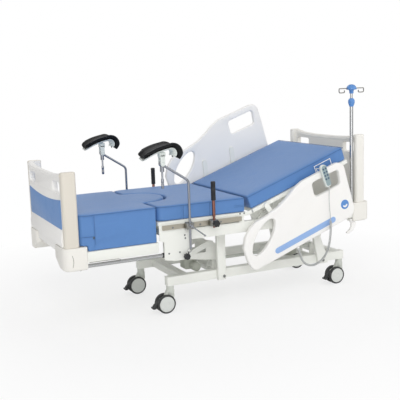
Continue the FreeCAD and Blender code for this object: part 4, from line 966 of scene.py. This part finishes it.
def gutter(line, y, thick, half, rise, blunt, ring=28):
    """A dished, round-edged strip along the stations."""
    bm = bmesh.new()
    rings = []
    last = len(line) - 1
    for i, (place, out) in enumerate(line):
        near_end = min(i, last - i)
        shrink = math.sin(math.pi / 2 * min(1.0, (near_end + 0.35) / blunt))
        ring_verts = []
        for j in range(ring):
            turn = 2 * math.pi * j / ring
            across = math.copysign(abs(math.cos(turn)) ** 0.45, math.cos(turn))
            high = math.copysign(abs(math.sin(turn)) ** 0.75, math.sin(turn))
            level = thick / 2 + thick / 2 * high * shrink + rise * across * across
            spot = place + out * level + Vector((0, y + half * across * (0.72 + 0.28 * shrink), 0))
            ring_verts.append(bm.verts.new(spot * MM))
        rings.append(ring_verts)
    for low, high in zip(rings, rings[1:]):
        for j in range(ring):
            k = (j + 1) % ring
            bm.faces.new((low[j], low[k], high[k], high[j]))
    bm.faces.new(list(reversed(rings[0])))
    bm.faces.new(rings[-1])
    bmesh.ops.recalc_face_normals(bm, faces=bm.faces)
    return as_mesh("gutter", bm)


class BED_OT_leg_supports(bpy.types.Operator):
    """Make the two calf supports with pad, shell, joint and lever"""

    bl_idname = "bed.leg_supports"
    bl_label = "Leg supports"

    def execute(self, context):
        for name, _ in SIDES:
            low, high = box_of(f"{name}_tilt_lever")
            hub = ((low.x + high.x) / 2, (low.y + high.y) / 2, low.z + 156)
            self.saddle(name, *hub)
            lever = turned([(0, -156), (7, -156), (9, -153), (9, -128), (8, -126), (8, -120), (9, -118), (9, -98),
                            (7, -95), (6, -92), (6, -32), (0, -32)], hub, steps=28)
            piece(f"{name}_tilt_handle", lever, "rod_chrome", f"{name}_tilt", f"{name}_tilt_lever")
            carry(f"{name}_leg_rod", "rod_chrome")
        return {"FINISHED"}

    def saddle(self, name, x, y, z):
        """The dished pad with a lighter grey wire along each raised rim as painted highlight, and the grey shell
        with two ears under it.
        """
        body = f"{name}_saddle"
        line = saddle_line(x, z + 48, 0)
        mesh = sewn(swell(gutter(line, y, 23, 72, 29, 3.6), 0.005, 0.0022, lambda p: p.copy(), 3.0), [], 0.0)
        as_padded(f"{name}_leg_pad", mesh, "black_pad", body, f"{name}_leg_saddle")
        rims = [[(place + out * 40.5 + Vector((0, y + edge * 73.4, 0))) * MM for place, out in line[3:-3]]
                for edge in (-1, 1)]
        # A lighter grey wire along each raised rim of the pad: a painted highlight on its edges.
        edge_highlights = joined([wire_mesh("welt", rim, 0.0022, sides=2) for rim in rims])
        piece(f"{name}_pad_welt", edge_highlights, "pad_welt", body, angle=60)
        shell = joined([gutter(saddle_line(x, z + 48, -5.5), y, 4.5, 57, 14.5, 2.0)])
        for way in (-17, 17):
            ear = [(x - 14, z + 50), (x + 14, z + 50), (x + 15, z + 6)] + arc((x, z - 4), 15, 0, -180, 8) + [
                (x - 15, z + 6)]
            prism(shell, "XZ", ear, y + way - 3, y + way + 3)
        square = [(x - 20, y - 20), (x + 20, y - 20), (x + 20, y + 20), (x - 20, y + 20)]
        shell.from_mesh(as_mesh("bridge", slab("XY", square, z + 38, z + 70, rounding=(6,))))
        lathe(shell, [(0, -25), (9, -25), (11, -23), (11, -20.2), (7.5, -20.2), (7.5, 20.2), (11, 20.2), (11, 23),
                      (9, 25), (0, 25)], (x, y, z - 4), "y", 28)
        piece(f"{name}_pad_shell", shell, "handset_plastic", body)


class BED_OT_casters(bpy.types.Operator):
    """Make the four twin-wheel casters"""

    bl_idname = "bed.casters"
    bl_label = "Casters"

    def execute(self, context):
        for corner in CORNERS:
            self.wheels(corner)
            rounded_copy(f"{corner}_caster_fork", "lift_paint", 2.0, 2, 16)
            rounded_copy(f"{corner}_caster_pedal", "pedal_plastic", 1.6, 2, 10)
        return {"FINISHED"}

    def wheels(self, corner):
        """Both wheels of a caster; a profile gives the radius from the tread and the depth from the outer face."""
        node = f"{corner}_caster_wheels"
        low, high = box_of(node)
        centre = (low + high) / 2
        radius = (high.z - low.z) / 2
        tyres, hubs = bmesh.new(), bmesh.new()
        for side, face in ((-1, low.y), (1, high.y)):
            def shape(wheel, profile, closed):
                lathe(wheel, [(r if fixed else radius + r, face - side * depth)
                              for r, depth, fixed in profile], (centre.x, 0, centre.z), "y", 56, closed)
            shape(tyres, [(-15, 24, 0), (-3, 24, 0), (-0.6, 22, 0), (0, 19, 0), (0, 6, 0), (-1.2, 2.4, 0),
                          (-4, 0.2, 0), (-9.5, 0, 0), (-10.5, 2.6, 0), (-15, 2.6, 0)], True)
            shape(hubs, [(6.3, 24, 1), (22, 24, 1), (24, 20, 1), (-14.8, 20, 0), (-14.8, 3.2, 0), (-10.6, 2.2, 0),
                         (-12.5, 0.6, 0), (-17, 0.2, 0), (-18, 1.2, 0), (-19.5, 1.2, 0), (-20.5, 0.1, 0),
                         (18, 0, 1), (16.5, 1.2, 1), (15, 1.2, 1), (14, 0.2, 1), (-radius, 0.1, 0)], False)
        close_holes(hubs)
        piece(f"{corner}_tyres", tyres, "tyre", body_of(node))
        piece(f"{corner}_wheel_hubs", hubs, "wheel_grey", body_of(node), node)


class BED_OT_frames(bpy.types.Operator):
    """Make the base, lift, seat and back frames with soft edges and bolts"""

    bl_idname = "bed.frames"
    bl_label = "Frames"

    def execute(self, context):
        for node, finish, width, skip in (
                ("base_frame", "frame_paint", 2.5, 40), ("foot_lift_arm", "frame_paint", 2.0, 30),
                ("head_lift_arm", "frame_paint", 2.0, 30), ("main_frame", "frame_paint", 1.6, 30),
                ("seat_frame", "frame_paint", 1.4, 20), ("foot_carriage", "frame_paint", 2.0, 20),
                ("lift_drive", "drive_plastic", 2.0, 30)):
            rounded_copy(node, finish, width, 2, skip)
        for node, finish in (
                ("back_frame", "frame_paint"), ("near_foot_rail_link", "frame_paint"),
                ("near_head_rail_link", "frame_paint"), ("far_foot_rail_link", "frame_paint"),
                ("far_head_rail_link", "frame_paint"), ("tie_rod", "lift_paint"), ("push_rod", "steel_rod"),
                ("slide_tubes", "chrome_tube"), ("slide_bushings", "black_plastic"),
                ("accessory_rails", "stainless")):
            carry(node, finish)
        self.bolts(context.scene.bed_sizes.screw)
        self.drive_details()
        return {"FINISHED"}

    def bolts(self, size):
        """Screw heads on both sides, each given by its place along the bed, across it and up."""
        def rows(*spots):
            return [(upright((x, way * y, z)), Vector((0, way, 0))) for way in (-1, 1) for x, y, z in spots]
        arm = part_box("foot_lift_arm")[1].y / MM
        plates = rows((-448, 436.4, 435), (-374, 436.4, 435), (-336, 436.4, 541), (-333, 436.4, 521))
        rails = rows((-420, 446.3, 600), (-230, 446.3, 600), (-82, 446.3, 600))
        for name, body, spots, scale in (
                ("frame_screws", "bed", plates + rows((97, 433.6, 634), (66, 433.6, 634)), 0.8),
                ("accessory_rail_bolts", "bed", rails, 0.9),
                ("foot_arm_bolts", "foot_arm", rows((-6, arm, 200)), 1.35),
                ("head_arm_bolts", "head_arm", rows((794, arm, 200)), 1.35)):
            scatter(name, body, "screw_steel", spots, size * scale, screw_head())

    def drive_details(self):
        """Cooling ribs round the lift motor and a lid line on the control box."""
        rings = ribs("motor_ribs", "drive_plastic", Count=6, Step=(0, 0, 0.0085), Foot=(0, 0, 0),
                     Ring_radius=0.0292, Rib_radius=0.0012)
        rings.transform(Matrix.Translation((-0.140, -0.122, 0.250)) @ Matrix.Rotation(math.pi / 2, 4, "X"))
        piece("motor_cooling_ribs", joined([rings]), "drive_plastic", "base")
        lid = slab("XY", [(546, -132), (684, -132), (684, -36), (546, -36)], 296.4, 299, rounding=(1.0, 2))
        piece("control_box_lid", lid, "drive_plastic", "base")


def stadium(start, end, half, steps=8):
    """A round-ended strip between two places on the back section's side."""
    (s0, n0), (s1, n1) = start, end
    lean = math.degrees(math.atan2(n1 - n0, s1 - s0))
    return arc((s1, n1), half, lean - 90, lean + 90, steps) + arc((s0, n0), half, lean + 90, lean + 270, steps)


class BED_OT_side_rails(bpy.types.Operator):
    """Make the two moulded side rails with their stripe and button"""

    bl_idname = "bed.side_rails"
    bl_label = "Side rails"

    def execute(self, context):
        for name, side in SIDES:
            lift = 0 if side < 0 else RAIL_LIFT
            body = f"{name}_rail"
            outer = side * RAIL_FACE
            spot = (664, lift - 366)
            rounded_copy(f"{name}_side_rail", "white_shell", 8.0, 4, 60, careful=False)
            stripe = slab("XZ", stadium((63, lift - 424), (540, lift - 424), 20), outer - 0.8 * side,
                          outer + 0.9 * side, on_back, (0.5, 2))
            piece(f"{name}_rail_stripe", stripe, "rail_stripe", body)
            disc = turned([(0, -side), (33, -side), (33, 0.8 * side), (31.8, 1.6 * side), (0, 1.9 * side)],
                          (spot[0], outer, spot[1]), "y", where=on_back)
            piece(f"{name}_rail_button", disc, "blue_plastic", body)
            crescent = arc(spot, 20, 200, 340, 14) + arc((spot[0], spot[1] + 11), 18, 325, 215, 14)
            moon = slab("XZ", crescent, outer + side * 1.2, outer + side * 2.4, on_back)
            piece(f"{name}_button_crescent", moon, "white_shell", body)
        return {"FINISHED"}


class BED_OT_boards(bpy.types.Operator):
    """Make the foot and head boards and the four corner covers"""

    bl_idname = "bed.boards"
    bl_label = "Boards and covers"

    def execute(self, context):
        for node, x, finish in (("foot_board", -1090.5, "board_shell"), ("head_board", 1058.5, "ivory_plastic")):
            rounded_copy(node, finish, 4.0, 3, 60)
            self.hand_rail(node, f"{node}_body", x, finish)
        for node in ("foot_corner_covers", "head_corner_covers"):
            rounded_copy(node, "ivory_plastic", 1.5, 2, 30)
        self.inset(389, 655, 812, 836)
        self.ledge()
        self.lip("foot_board_body", "board_shell", FOOT_FACE, -1, 866)
        self.lip("head_board_body", "ivory_plastic", 1075.5, 1, 958)
        self.cover_details(context.scene.bed_sizes.screw)
        return {"FINISHED"}

    def lip(self, body, finish, face, way, z):
        """A raised lip under the hand rail of a board."""
        bar = slab("YZ", [(-370, z), (370, z), (370, z + 5), (-370, z + 5)], face - way, face + way * 2,
                   rounding=(1.2, 2))
        piece(f"{body}_lip", bar, finish, body)

    def hand_rail(self, node, body, x, finish):
        """The round bar along the top of a board."""
        top = box_of(node)[1].z
        half = ((404, 21), (390, 22), (300, 38), (150, 45))
        line = [(-y, drop) for y, drop in half] + [(0, 45)] + list(reversed(half))
        bar = wire_mesh("hand_rail", [upright((x, y, top - drop)) for y, drop in line], 0.0195, sides=6)
        piece(f"{node}_hand_rail", joined([bar]), finish, body, angle=50)

    def inset(self, half, low, middle, ends):
        """The blue panel with its sagging top edge."""
        top = [(half * (1 - i / 12.0), middle + (ends - middle) * (1 - i / 12.0) ** 2) for i in range(25)]
        floor = arc((16 - half, low + 16), 16, 180, 270, 6) + arc((half - 16, low + 16), 16, 270, 360, 6)
        panel = slab("YZ", top + floor, FOOT_FACE + 0.6, FOOT_FACE - 1.4, rounding=(0.6, 2))
        piece("foot_board_inset", panel, "board_inset", "foot_board_body")

    def ledge(self):
        """The thicker lower part of the board, with a soft sloping lip under the inset."""
        outline = [(6, 547), (-9, 551), (-10, 596), (-9, 610), (-5, 626), (-2, 642), (-0.6, 652), (6, 652)]
        skirt = slab("XZ", [(FOOT_FACE + x, z) for x, z in outline], -391, 391, rounding=(2.0, 2))
        piece("foot_board_skirt", skirt, "board_shell", "foot_board_body", angle=60)

    def cover_details(self, size):
        """The curved slit and the screw of each foot cover, and the long groove in the beam beside it; slit and
        groove are grey wires laid on the surface as painted shade.
        """
        slits = []
        beam = -box_of("foot_carriage")[0].y
        for way in (-1, 1):
            slit = [(-1070 + 7 * math.sin(math.pi * i / 10), way * 439.2, 431 + 7.3 * i) for i in range(11)]
            groove = [(x, way * (beam + 0.1), z)
                      for x, z in ((-963, 446), (-900, 446), (-800, 445), (-772, 444), (-764, 438))]
            slits += [wire_mesh("slit", [upright(spot) for spot in line], radius, sides=2)
                      for line, radius in ((slit, 0.0014), (groove, 0.0017))]
        # Grey wires on the surface paint the shade inside the slits and the groove.
        piece("foot_cover_slits", joined(slits), "dark_gap", "foot_section")
        spots = [(upright((-1020, way * 425.0, 404.4)), Vector((0, 0, -1))) for way in (-1, 1)]
        scatter("foot_cover_screws", "foot_section", "screw_steel", spots, size * 0.7, screw_head())


def star(lobes, outer, inner, steps=60):
    """A lobed outline about the origin."""
    points = []
    for i in range(steps):
        turn = 2 * math.pi * i / steps
        radius = (outer + inner) / 2 + (outer - inner) / 2 * math.cos(lobes * turn)
        points.append((radius * math.cos(turn), radius * math.sin(turn)))
    return points


class BED_OT_knobs(bpy.types.Operator):
    """Make the hand grips, lobed knobs, clamps and levers"""

    bl_idname = "bed.knobs"
    bl_label = "Grips, knobs and levers"

    def execute(self, context):
        for name, side in SIDES:
            self.grip(name)
            self.knob(f"{name}_grip_knob", side, 23, 22)
            self.clamp_lever(name, side)
        self.lock_knob()
        rounded_copy("rail_clamps", "clamp_metal", 1.6, 2, 20)
        self.release()
        return {"FINISHED"}

    def clamp_lever(self, name, side):
        """The sloping tommy bar that tightens a leg rod in its clamp."""
        node = f"{name}_clamp_lever"
        low, high = box_of(node)
        x, z = low.x + 9, high.z - 9
        y = (low.y + 4.2) if side < 0 else (high.y - 4.2)
        reach = Vector((math.cos(math.radians(38)), 0, -math.sin(math.radians(38))))
        start = Vector((x, y, z))
        bm = joined([wire_mesh("bar", [(start + reach * t) * MM for t in (-16, 0, 50, 104, 117)], 0.0042, sides=4)])
        lathe(bm, [(0, low.y), (8, low.y), (9, low.y + 1), (9, high.y - 1), (8, high.y), (0, high.y)],
              (x, 0, z), "y", 24)
        for t in (-15, 115):
            lathe(bm, [(0, -6.5), (3.6, -5.4), (5.8, -2.6), (6.4, 0), (5.8, 2.6), (3.6, 5.4), (0, 6.5)],
                  start + reach * t, "z", 16)
        piece(f"{name}_clamp_bar", bm, "rod_chrome", body_of(node), node)

    def release(self):
        """The broad curved lever under the near head cover."""
        outline = [(951, 501), (969, 501), (970, 473), (1004, 473), (1003, 455), (996, 436), (980, 416), (958, 401),
                   (938, 393), (927, 396), (926, 404), (940, 413), (956, 426), (966, 444), (966, 466), (951, 483)]
        bm = slab("XZ", outline, -428, -410, rounding=(3.2, 3))
        lathe(bm, [(0, -433), (6, -433), (7, -432), (7, -427), (0, -427)], (960, 0, 493), "y", 24)
        piece("release_blade", bm, "white_shell", "release", "release_lever")

    def grip(self, name):
        """The rubber sleeve with its ribs, and the bronze rod in it."""
        node = f"{name}_hand_grip"
        low, high = box_of(node)
        x, y = (low.x + high.x) / 2, (low.y + high.y) / 2
        sleeve = turned([(8.2, 0), (13, 0), (15, 3), (15, 14), (14.2, 17), (14.2, 104), (15, 107), (15.4, 116),
                         (13, 121), (0, 122)], (x, y, 749), steps=36)
        sleeve.from_mesh(ribs(f"{name}_ribs", "grip_rubber", Count=17, Step=(0, 0, 0.0052),
                              Foot=(x * MM, y * MM, 0.768), Ring_radius=0.0143, Rib_radius=0.0014))
        close_holes(sleeve)
        piece(f"{name}_grip_sleeve", sleeve, "grip_rubber", body_of(node))
        rod = turned([(0, 572), (7, 572), (8, 573), (8, 644), (10.2, 646), (10.2, 742), (9, 744), (9, 750),
                      (0, 750)], (x, y, 0), steps=28)
        piece(f"{name}_grip_rod", rod, "bronze_rod", body_of(node), node)

    def knob(self, node, side, radius, deep):
        """A six-lobed knob on a plain stem."""
        low, high = box_of(node)
        x, z = (low.x + high.x) / 2, (low.z + high.z) / 2
        outer, inner = (low.y, high.y) if side < 0 else (high.y, low.y)
        face = outer - side * deep
        bm = slab("XZ", [(x + u, z + v) for u, v in star(6, radius, radius - 4)], face, outer,
                  rounding=(2.4, 3, 0, 50))
        lathe(bm, [(0, face), (6, face), (6, inner), (0, inner)], (x, 0, z), "y", 20)
        piece(node + "_lobed", bm, "black_plastic", body_of(node), node)

    def lock_knob(self):
        """The black knob by the slide tube, with its wire pull ring."""
        x, z = -333, 405
        bm = slab("XZ", [(x + u, z + v) for u, v in star(8, 21, 18.5)], -468, -444, rounding=(3.0, 3, 0, 50))
        lathe(bm, [(0, -444.2), (9, -444.2), (9, -436.4), (0, -436.4)], (x, 0, z), "y", 24)
        prism(bm, "XZ", [(x + 10, z + 12), (x + 18, z + 12), (x + 20, z + 28), (x + 12, z + 28)], -450, -446)
        piece("foot_lock_grip", bm, "black_plastic", "lock_knob", "foot_lock_knob")
        ring = [upright((x + 22 + 13 * math.cos(t), -448, z + 36 + 13 * math.sin(t)))
                for t in (2 * math.pi * i / 24 for i in range(24))]
        ring = wire_mesh("ring", ring, 0.0024, closed=True)
        piece("foot_lock_ring", joined([ring]), "chrome_tube", "lock_knob", angle=50)


class BED_OT_pole(bpy.types.Operator):
    """Make the infusion pole with its knob, cap and hooks"""

    bl_idname = "bed.pole"
    bl_label = "Infusion pole"

    def execute(self, context):
        carry("pole_tube", "chrome_tube")
        x, y = 984, -400
        for name, profile, steps, closed, finish, body, nodes in (
                ("pole_knob_turned", [(9.1, 1287.4), (14, 1287.4), (15, 1292), (20, 1303), (23.2, 1318),
                                      (22.4, 1329), (18, 1339), (12, 1344), (9.1, 1345)],
                 40, True, "blue_plastic", "pole_knob", ["pole_lock_knob"]),
                ("pole_cap", [(0, 1377), (13, 1377), (14.5, 1382), (15.5, 1396), (19, 1402), (34, 1404),
                              (36.5, 1407), (36, 1413), (31, 1425), (22, 1434), (11, 1439.4), (0, 1440)],
                 44, False, "blue_plastic", "mast", []),
                ("pole_mast_rod", [(0, 1067), (8, 1067), (9, 1068), (9, 1378), (0, 1378)],
                 32, False, "chrome_tube", "mast", ["pole_mast"])):
            piece(name, turned(profile, (x, y, 0), "z", steps, closed), finish, body, *nodes)
        hook = [(14, 1413), (40, 1413), (70, 1413), (94, 1413), (102, 1413), (104, 1408), (104, 1394), (102, 1386),
                (92, 1384), (76, 1384), (62, 1385), (57, 1390), (60, 1400)]
        hooks = [wire_mesh("hook", [upright((x + way * u, y, z)) for u, z in hook], 0.0036) for way in (-1, 1)]
        piece("pole_hooks", joined(hooks), "hook_wire", "mast")
        return {"FINISHED"}


CABLE_ROUTE = [(0.7179, -0.5, 0.7624), (0.723, -0.5, 0.748), (0.724, -0.5, 0.722), (0.7225, -0.5, 0.69),
               (0.7235, -0.5, 0.656), (0.726, -0.5, 0.622), (0.729, -0.5, 0.588), (0.733, -0.5, 0.556),
               (0.734, -0.5, 0.52412)]
COIL_ROUTE = [(0.734, -0.5, 0.524), (0.735, -0.5, 0.484), (0.734, -0.499, 0.436), (0.73, -0.497, 0.388),
              (0.721, -0.493, 0.338), (0.704, -0.488, 0.291), (0.676, -0.482, 0.252), (0.638, -0.476, 0.228),
              (0.594, -0.471, 0.22), (0.554, -0.467, 0.232), (0.526, -0.465, 0.259), (0.513, -0.465, 0.291),
              (0.5043, -0.465, 0.3206), (0.4909, -0.465, 0.35805)]


def line_points(name, points, resolution=12):
    """The places along the smooth spline through a route's control points, as Blender evaluates it."""
    mesh = used_up(link(name, spline(name, points, resolution=resolution)))
    return [v.co.copy() for v in mesh.vertices]


def length_of(points):
    return sum((b - a).length for a, b in zip(points, points[1:]))


def helix(points, radius, pitch, per_turn=12):
    """Wind a line round a smooth route, with plain ends on its middle."""
    total = length_of(points)
    turns = total / pitch
    steps = int(turns * per_turn)
    spots = []
    way = (points[1] - points[0]).normalized()
    side = way.cross(Vector((0, 1, 0))).normalized()
    done, index = 0.0, 0
    for i in range(steps + 1):
        target = total * i / steps
        while index < len(points) - 2 and done + (points[index + 1] - points[index]).length < target:
            done += (points[index + 1] - points[index]).length
            index += 1
        step = points[index + 1] - points[index]
        place = points[index] + step * min(1.0, (target - done) / step.length)
        way = step.normalized()
        side = (side - way * side.dot(way)).normalized()
        turn = 2 * math.pi * turns * i / steps
        ease = min(1.0, i / 10, (steps - i) / 10)
        spots.append(place + (side * math.cos(turn) + way.cross(side) * math.sin(turn)) * radius * ease)
    return spots


class BED_OT_handset(bpy.types.Operator):
    """Make the hand control, its hanger and its curly lead"""

    bl_idname = "bed.handset"
    bl_label = "Hand control"

    def execute(self, context):
        self.body()
        self.cords(context.scene.bed_sizes)
        carry("handset_hanger", "white_shell")
        return {"FINISHED"}

    def outline(self, *corners):
        """The hand control's outline from its top arc, its two waists and its two bottom corners."""
        (top, radius), left, (first, second, small), right = corners
        return (arc(top, radius, 15, 165, 10) + [left] + arc(first, small, 190, 258, 5)
                + arc(second, small, 282, 350, 5) + [right])

    def body(self):
        case = slab("XZ", self.outline(((573, -48), 25), (548.5, -120), ((564, -168), (580, -168), 14),
                                       (597.5, -120)), -512, -488, on_back, (5.0, 4, 0, 40))
        piece("handset_case", case, "handset_plastic", "handset_body", "handset")
        face = slab("XZ", self.outline(((574.5, -48), 20.5), (555, -118), ((568, -162), (580, -162), 12),
                                       (594.5, -118)), -512.7, -511, on_back)
        piece("handset_face", face, "keypad_face", "handset_body")
        key = as_mesh("key", slab("XY", arc((0, 0), 1, 0, 345, 23), -0.2, 0.22, Vector, (90, 2, 0, 50)))
        spots = [(on_back((s, -512.8, n)), Vector((0, -1, 0))) for s in (565, 585) for n in (-52, -76, -100, -124)]
        scatter("handset_keys", "handset_body", "key_cap", spots, 0.0068, key)

    def cords(self, sizes):
        """The smooth lead and the wound one, each a thickened spline."""
        wire = sizes.coil_wire
        turns = helix(line_points("coil_route", COIL_ROUTE), 0.0085 - wire / 2, sizes.coil_pitch)
        for name, node, points, thick, resolution, sides in (
                ("handset_lead", "handset_cable", CABLE_ROUTE, 0.005, 12, 3),
                ("handset_curl", "handset_coil", turns, wire, 2, 1)):
            length = length_of(line_points(name, points, resolution))
            curve = thicken(spline(name, points, resolution=resolution), thick / 2, sides)
            curve.materials.append(FINISHES["cord_sheath"])
            cord = belong(link(name, curve), "near_rail", "cord_sheath", node)
        self.relief("handset_relief", CABLE_ROUTE[0], CABLE_ROUTE[1], "handset_body",
                    [(0, -4), (7, -4), (7, 0), (5.5, 4), (5.5, 7), (4.6, 9), (4.6, 12), (3.6, 16), (3.2, 20),
                     (0, 20)])
        self.relief("coil_relief", COIL_ROUTE[-1], COIL_ROUTE[-2], "near_rail",
                    [(0, -3), (11, -3), (11, 3), (10, 5), (9.6, 12), (9.2, 16), (0, 16)])

    def relief(self, name, start, towards, body, profile):
        """A tapered sleeve where the lead leaves a housing."""
        way = (Vector(towards) - Vector(start)).normalized()
        turn = Vector((0, 0, 1)).rotation_difference(way).to_matrix()
        sleeve = turned(profile, (0, 0, 0), steps=24, where=lambda p: Vector(start) + turn @ (Vector(p) * MM))
        piece(name, sleeve, "cord_sheath", body)


CAMERA_PLACE = (-2.2248, -4.6611, 1.5215)
CAMERA_YAW = math.radians(25.371175)
CAMERA_PITCH = math.radians(9.31696211)
CAMERA_ROLL = math.radians(-1.900231)
CAMERA_LENS = 67.2365


class BED_OT_stage(bpy.types.Operator):
    """Make the floor, the light and the camera"""

    bl_idname = "bed.stage"
    bl_label = "Stage"

    def execute(self, context):
        scene = context.scene
        scene.view_settings.view_transform = "Standard"
        self.camera(scene)
        self.world(scene)
        self.floor()
        for name, place, target, size, power in (
                ("Key", (-3.6, -7.9, 7.5), (0, 0, 0.5), 6.0, 275),
                ("Fill", (3.6, -2.8, 3.4), (0.2, 0, 0.6), 3.0, 32),
                ("Front", (-3.2, -9.3, 1.6), (0, 0, 0.4), 5.2, 158),
                ("Back", (0.4, 3.6, 4.2), (0, 0, 0.8), 3.0, 30)):
            self.lamp(name, place, target, size, power)
        return {"FINISHED"}

    def camera(self, scene):
        """The photograph's own place and angle, for a picture of 400 by 400."""
        ahead = Vector((math.sin(CAMERA_YAW) * math.cos(CAMERA_PITCH),
                        math.cos(CAMERA_YAW) * math.cos(CAMERA_PITCH), -math.sin(CAMERA_PITCH)))
        right = Vector((math.cos(CAMERA_YAW), -math.sin(CAMERA_YAW), 0))
        up = right.cross(ahead)
        across = right * math.cos(CAMERA_ROLL) + up * math.sin(CAMERA_ROLL)
        above = up * math.cos(CAMERA_ROLL) - right * math.sin(CAMERA_ROLL)
        data = bpy.data.cameras.new("Camera")
        data.lens = CAMERA_LENS
        data.sensor_width = 36
        data.clip_end = 60
        camera = link("Camera", data)
        turn = Matrix((across, above, -ahead)).transposed()
        camera.matrix_world = Matrix.Translation(CAMERA_PLACE) @ turn.to_4x4()
        scene.camera = camera

    def world(self, scene):
        world = bpy.data.worlds.new("Studio")
        world.use_nodes = True
        tree = world.node_tree
        ground = tree.nodes["Background"]
        path = tree.nodes.new("ShaderNodeLightPath")
        seen = Sum(tree, path.outputs["Is Camera Ray"])
        shine = Sum(tree, path.outputs["Is Glossy Ray"])
        bright = 0.58 + seen * 0.42 + shine * 0.1
        tree.links.new(bright.socket, ground.inputs["Strength"])
        ground.inputs["Color"].default_value = (1, 1, 1, 1)
        scene.world = world

    def floor(self):
        mesh = bpy.data.meshes.new("floor")
        corners = [(x, y, -0.0005) for x, y in ((-30, -30), (30, -30), (30, 30), (-30, 30))]
        mesh.from_pydata(corners, [], [(0, 1, 2, 3)])
        made = Finish("floor_white", Roughness=0.9, Specular_IOR_Level=0.0)
        grain = made.cloud(5.0, 3.0)
        made.colour(made.between(grain, (0.95, 0.95, 0.95, 1), (0.97, 0.97, 0.97, 1)))
        glow = made.node("ShaderNodeEmission", Color=(1, 1, 1, 1), Strength=1.0)
        path = made.node("ShaderNodeLightPath")
        mix = made.node("ShaderNodeMixShader")
        fade = made.band(made.away(), 1.3, 2.6)
        made.feed(mix.inputs[0], Sum(made.tree, path.outputs["Is Camera Ray"]) * (0.7 + fade * 0.3))
        made.feed(mix.inputs[1], made.shader.outputs[0])
        made.feed(mix.inputs[2], glow.outputs[0])
        made.feed(made.tree.nodes["Material Output"].inputs["Surface"], mix.outputs[0])
        mesh.materials.append(made.material)
        link("floor", mesh)

    def lamp(self, name, place, target, size, power):
        data = bpy.data.lights.new(name, "AREA")
        data.shape = "DISK"
        data.size = size
        data.energy = power
        lamp = link(name, data)
        lamp.location = place
        lamp.rotation_euler = (Vector(target) - Vector(place)).to_track_quat("-Z", "Y").to_euler()


STEPS = ("stage", "handset", "mattresses", "leg_supports", "casters", "frames", "side_rails", "boards", "knobs",
         "pole")


class BED_PT_panel(bpy.types.Panel):
    """The bed's colours, sizes and building steps"""

    bl_idname = "BED_PT_panel"
    bl_label = "Delivery Bed"
    bl_space_type = "VIEW_3D"
    bl_region_type = "UI"
    bl_category = "Delivery Bed"

    def draw(self, context):
        for group in (context.scene.bed_colours, context.scene.bed_sizes):
            for name in group.__annotations__:
                self.layout.prop(group, name)
        for step in STEPS:
            self.layout.operator(f"bed.{step}")


CLASSES = (BedColours, BedSizes, BED_OT_stage, BED_OT_handset, BED_OT_mattresses, BED_OT_leg_supports,
           BED_OT_casters, BED_OT_frames, BED_OT_side_rails, BED_OT_boards, BED_OT_knobs, BED_OT_pole,
           BED_PT_panel)


def register():
    for item in CLASSES:
        bpy.utils.register_class(item)
    bpy.types.Scene.bed_colours = bpy.props.PointerProperty(type=BedColours)
    bpy.types.Scene.bed_sizes = bpy.props.PointerProperty(type=BedSizes)


def unregister():
    del bpy.types.Scene.bed_colours
    del bpy.types.Scene.bed_sizes
    for item in reversed(CLASSES):
        bpy.utils.unregister_class(item)


def main():
    """Build the bed."""
    register()
    set_up_finishes(bpy.context.scene.bed_colours)
    for step in STEPS:
        getattr(bpy.ops.bed, step)()


if __name__ == "__main__":
    main()
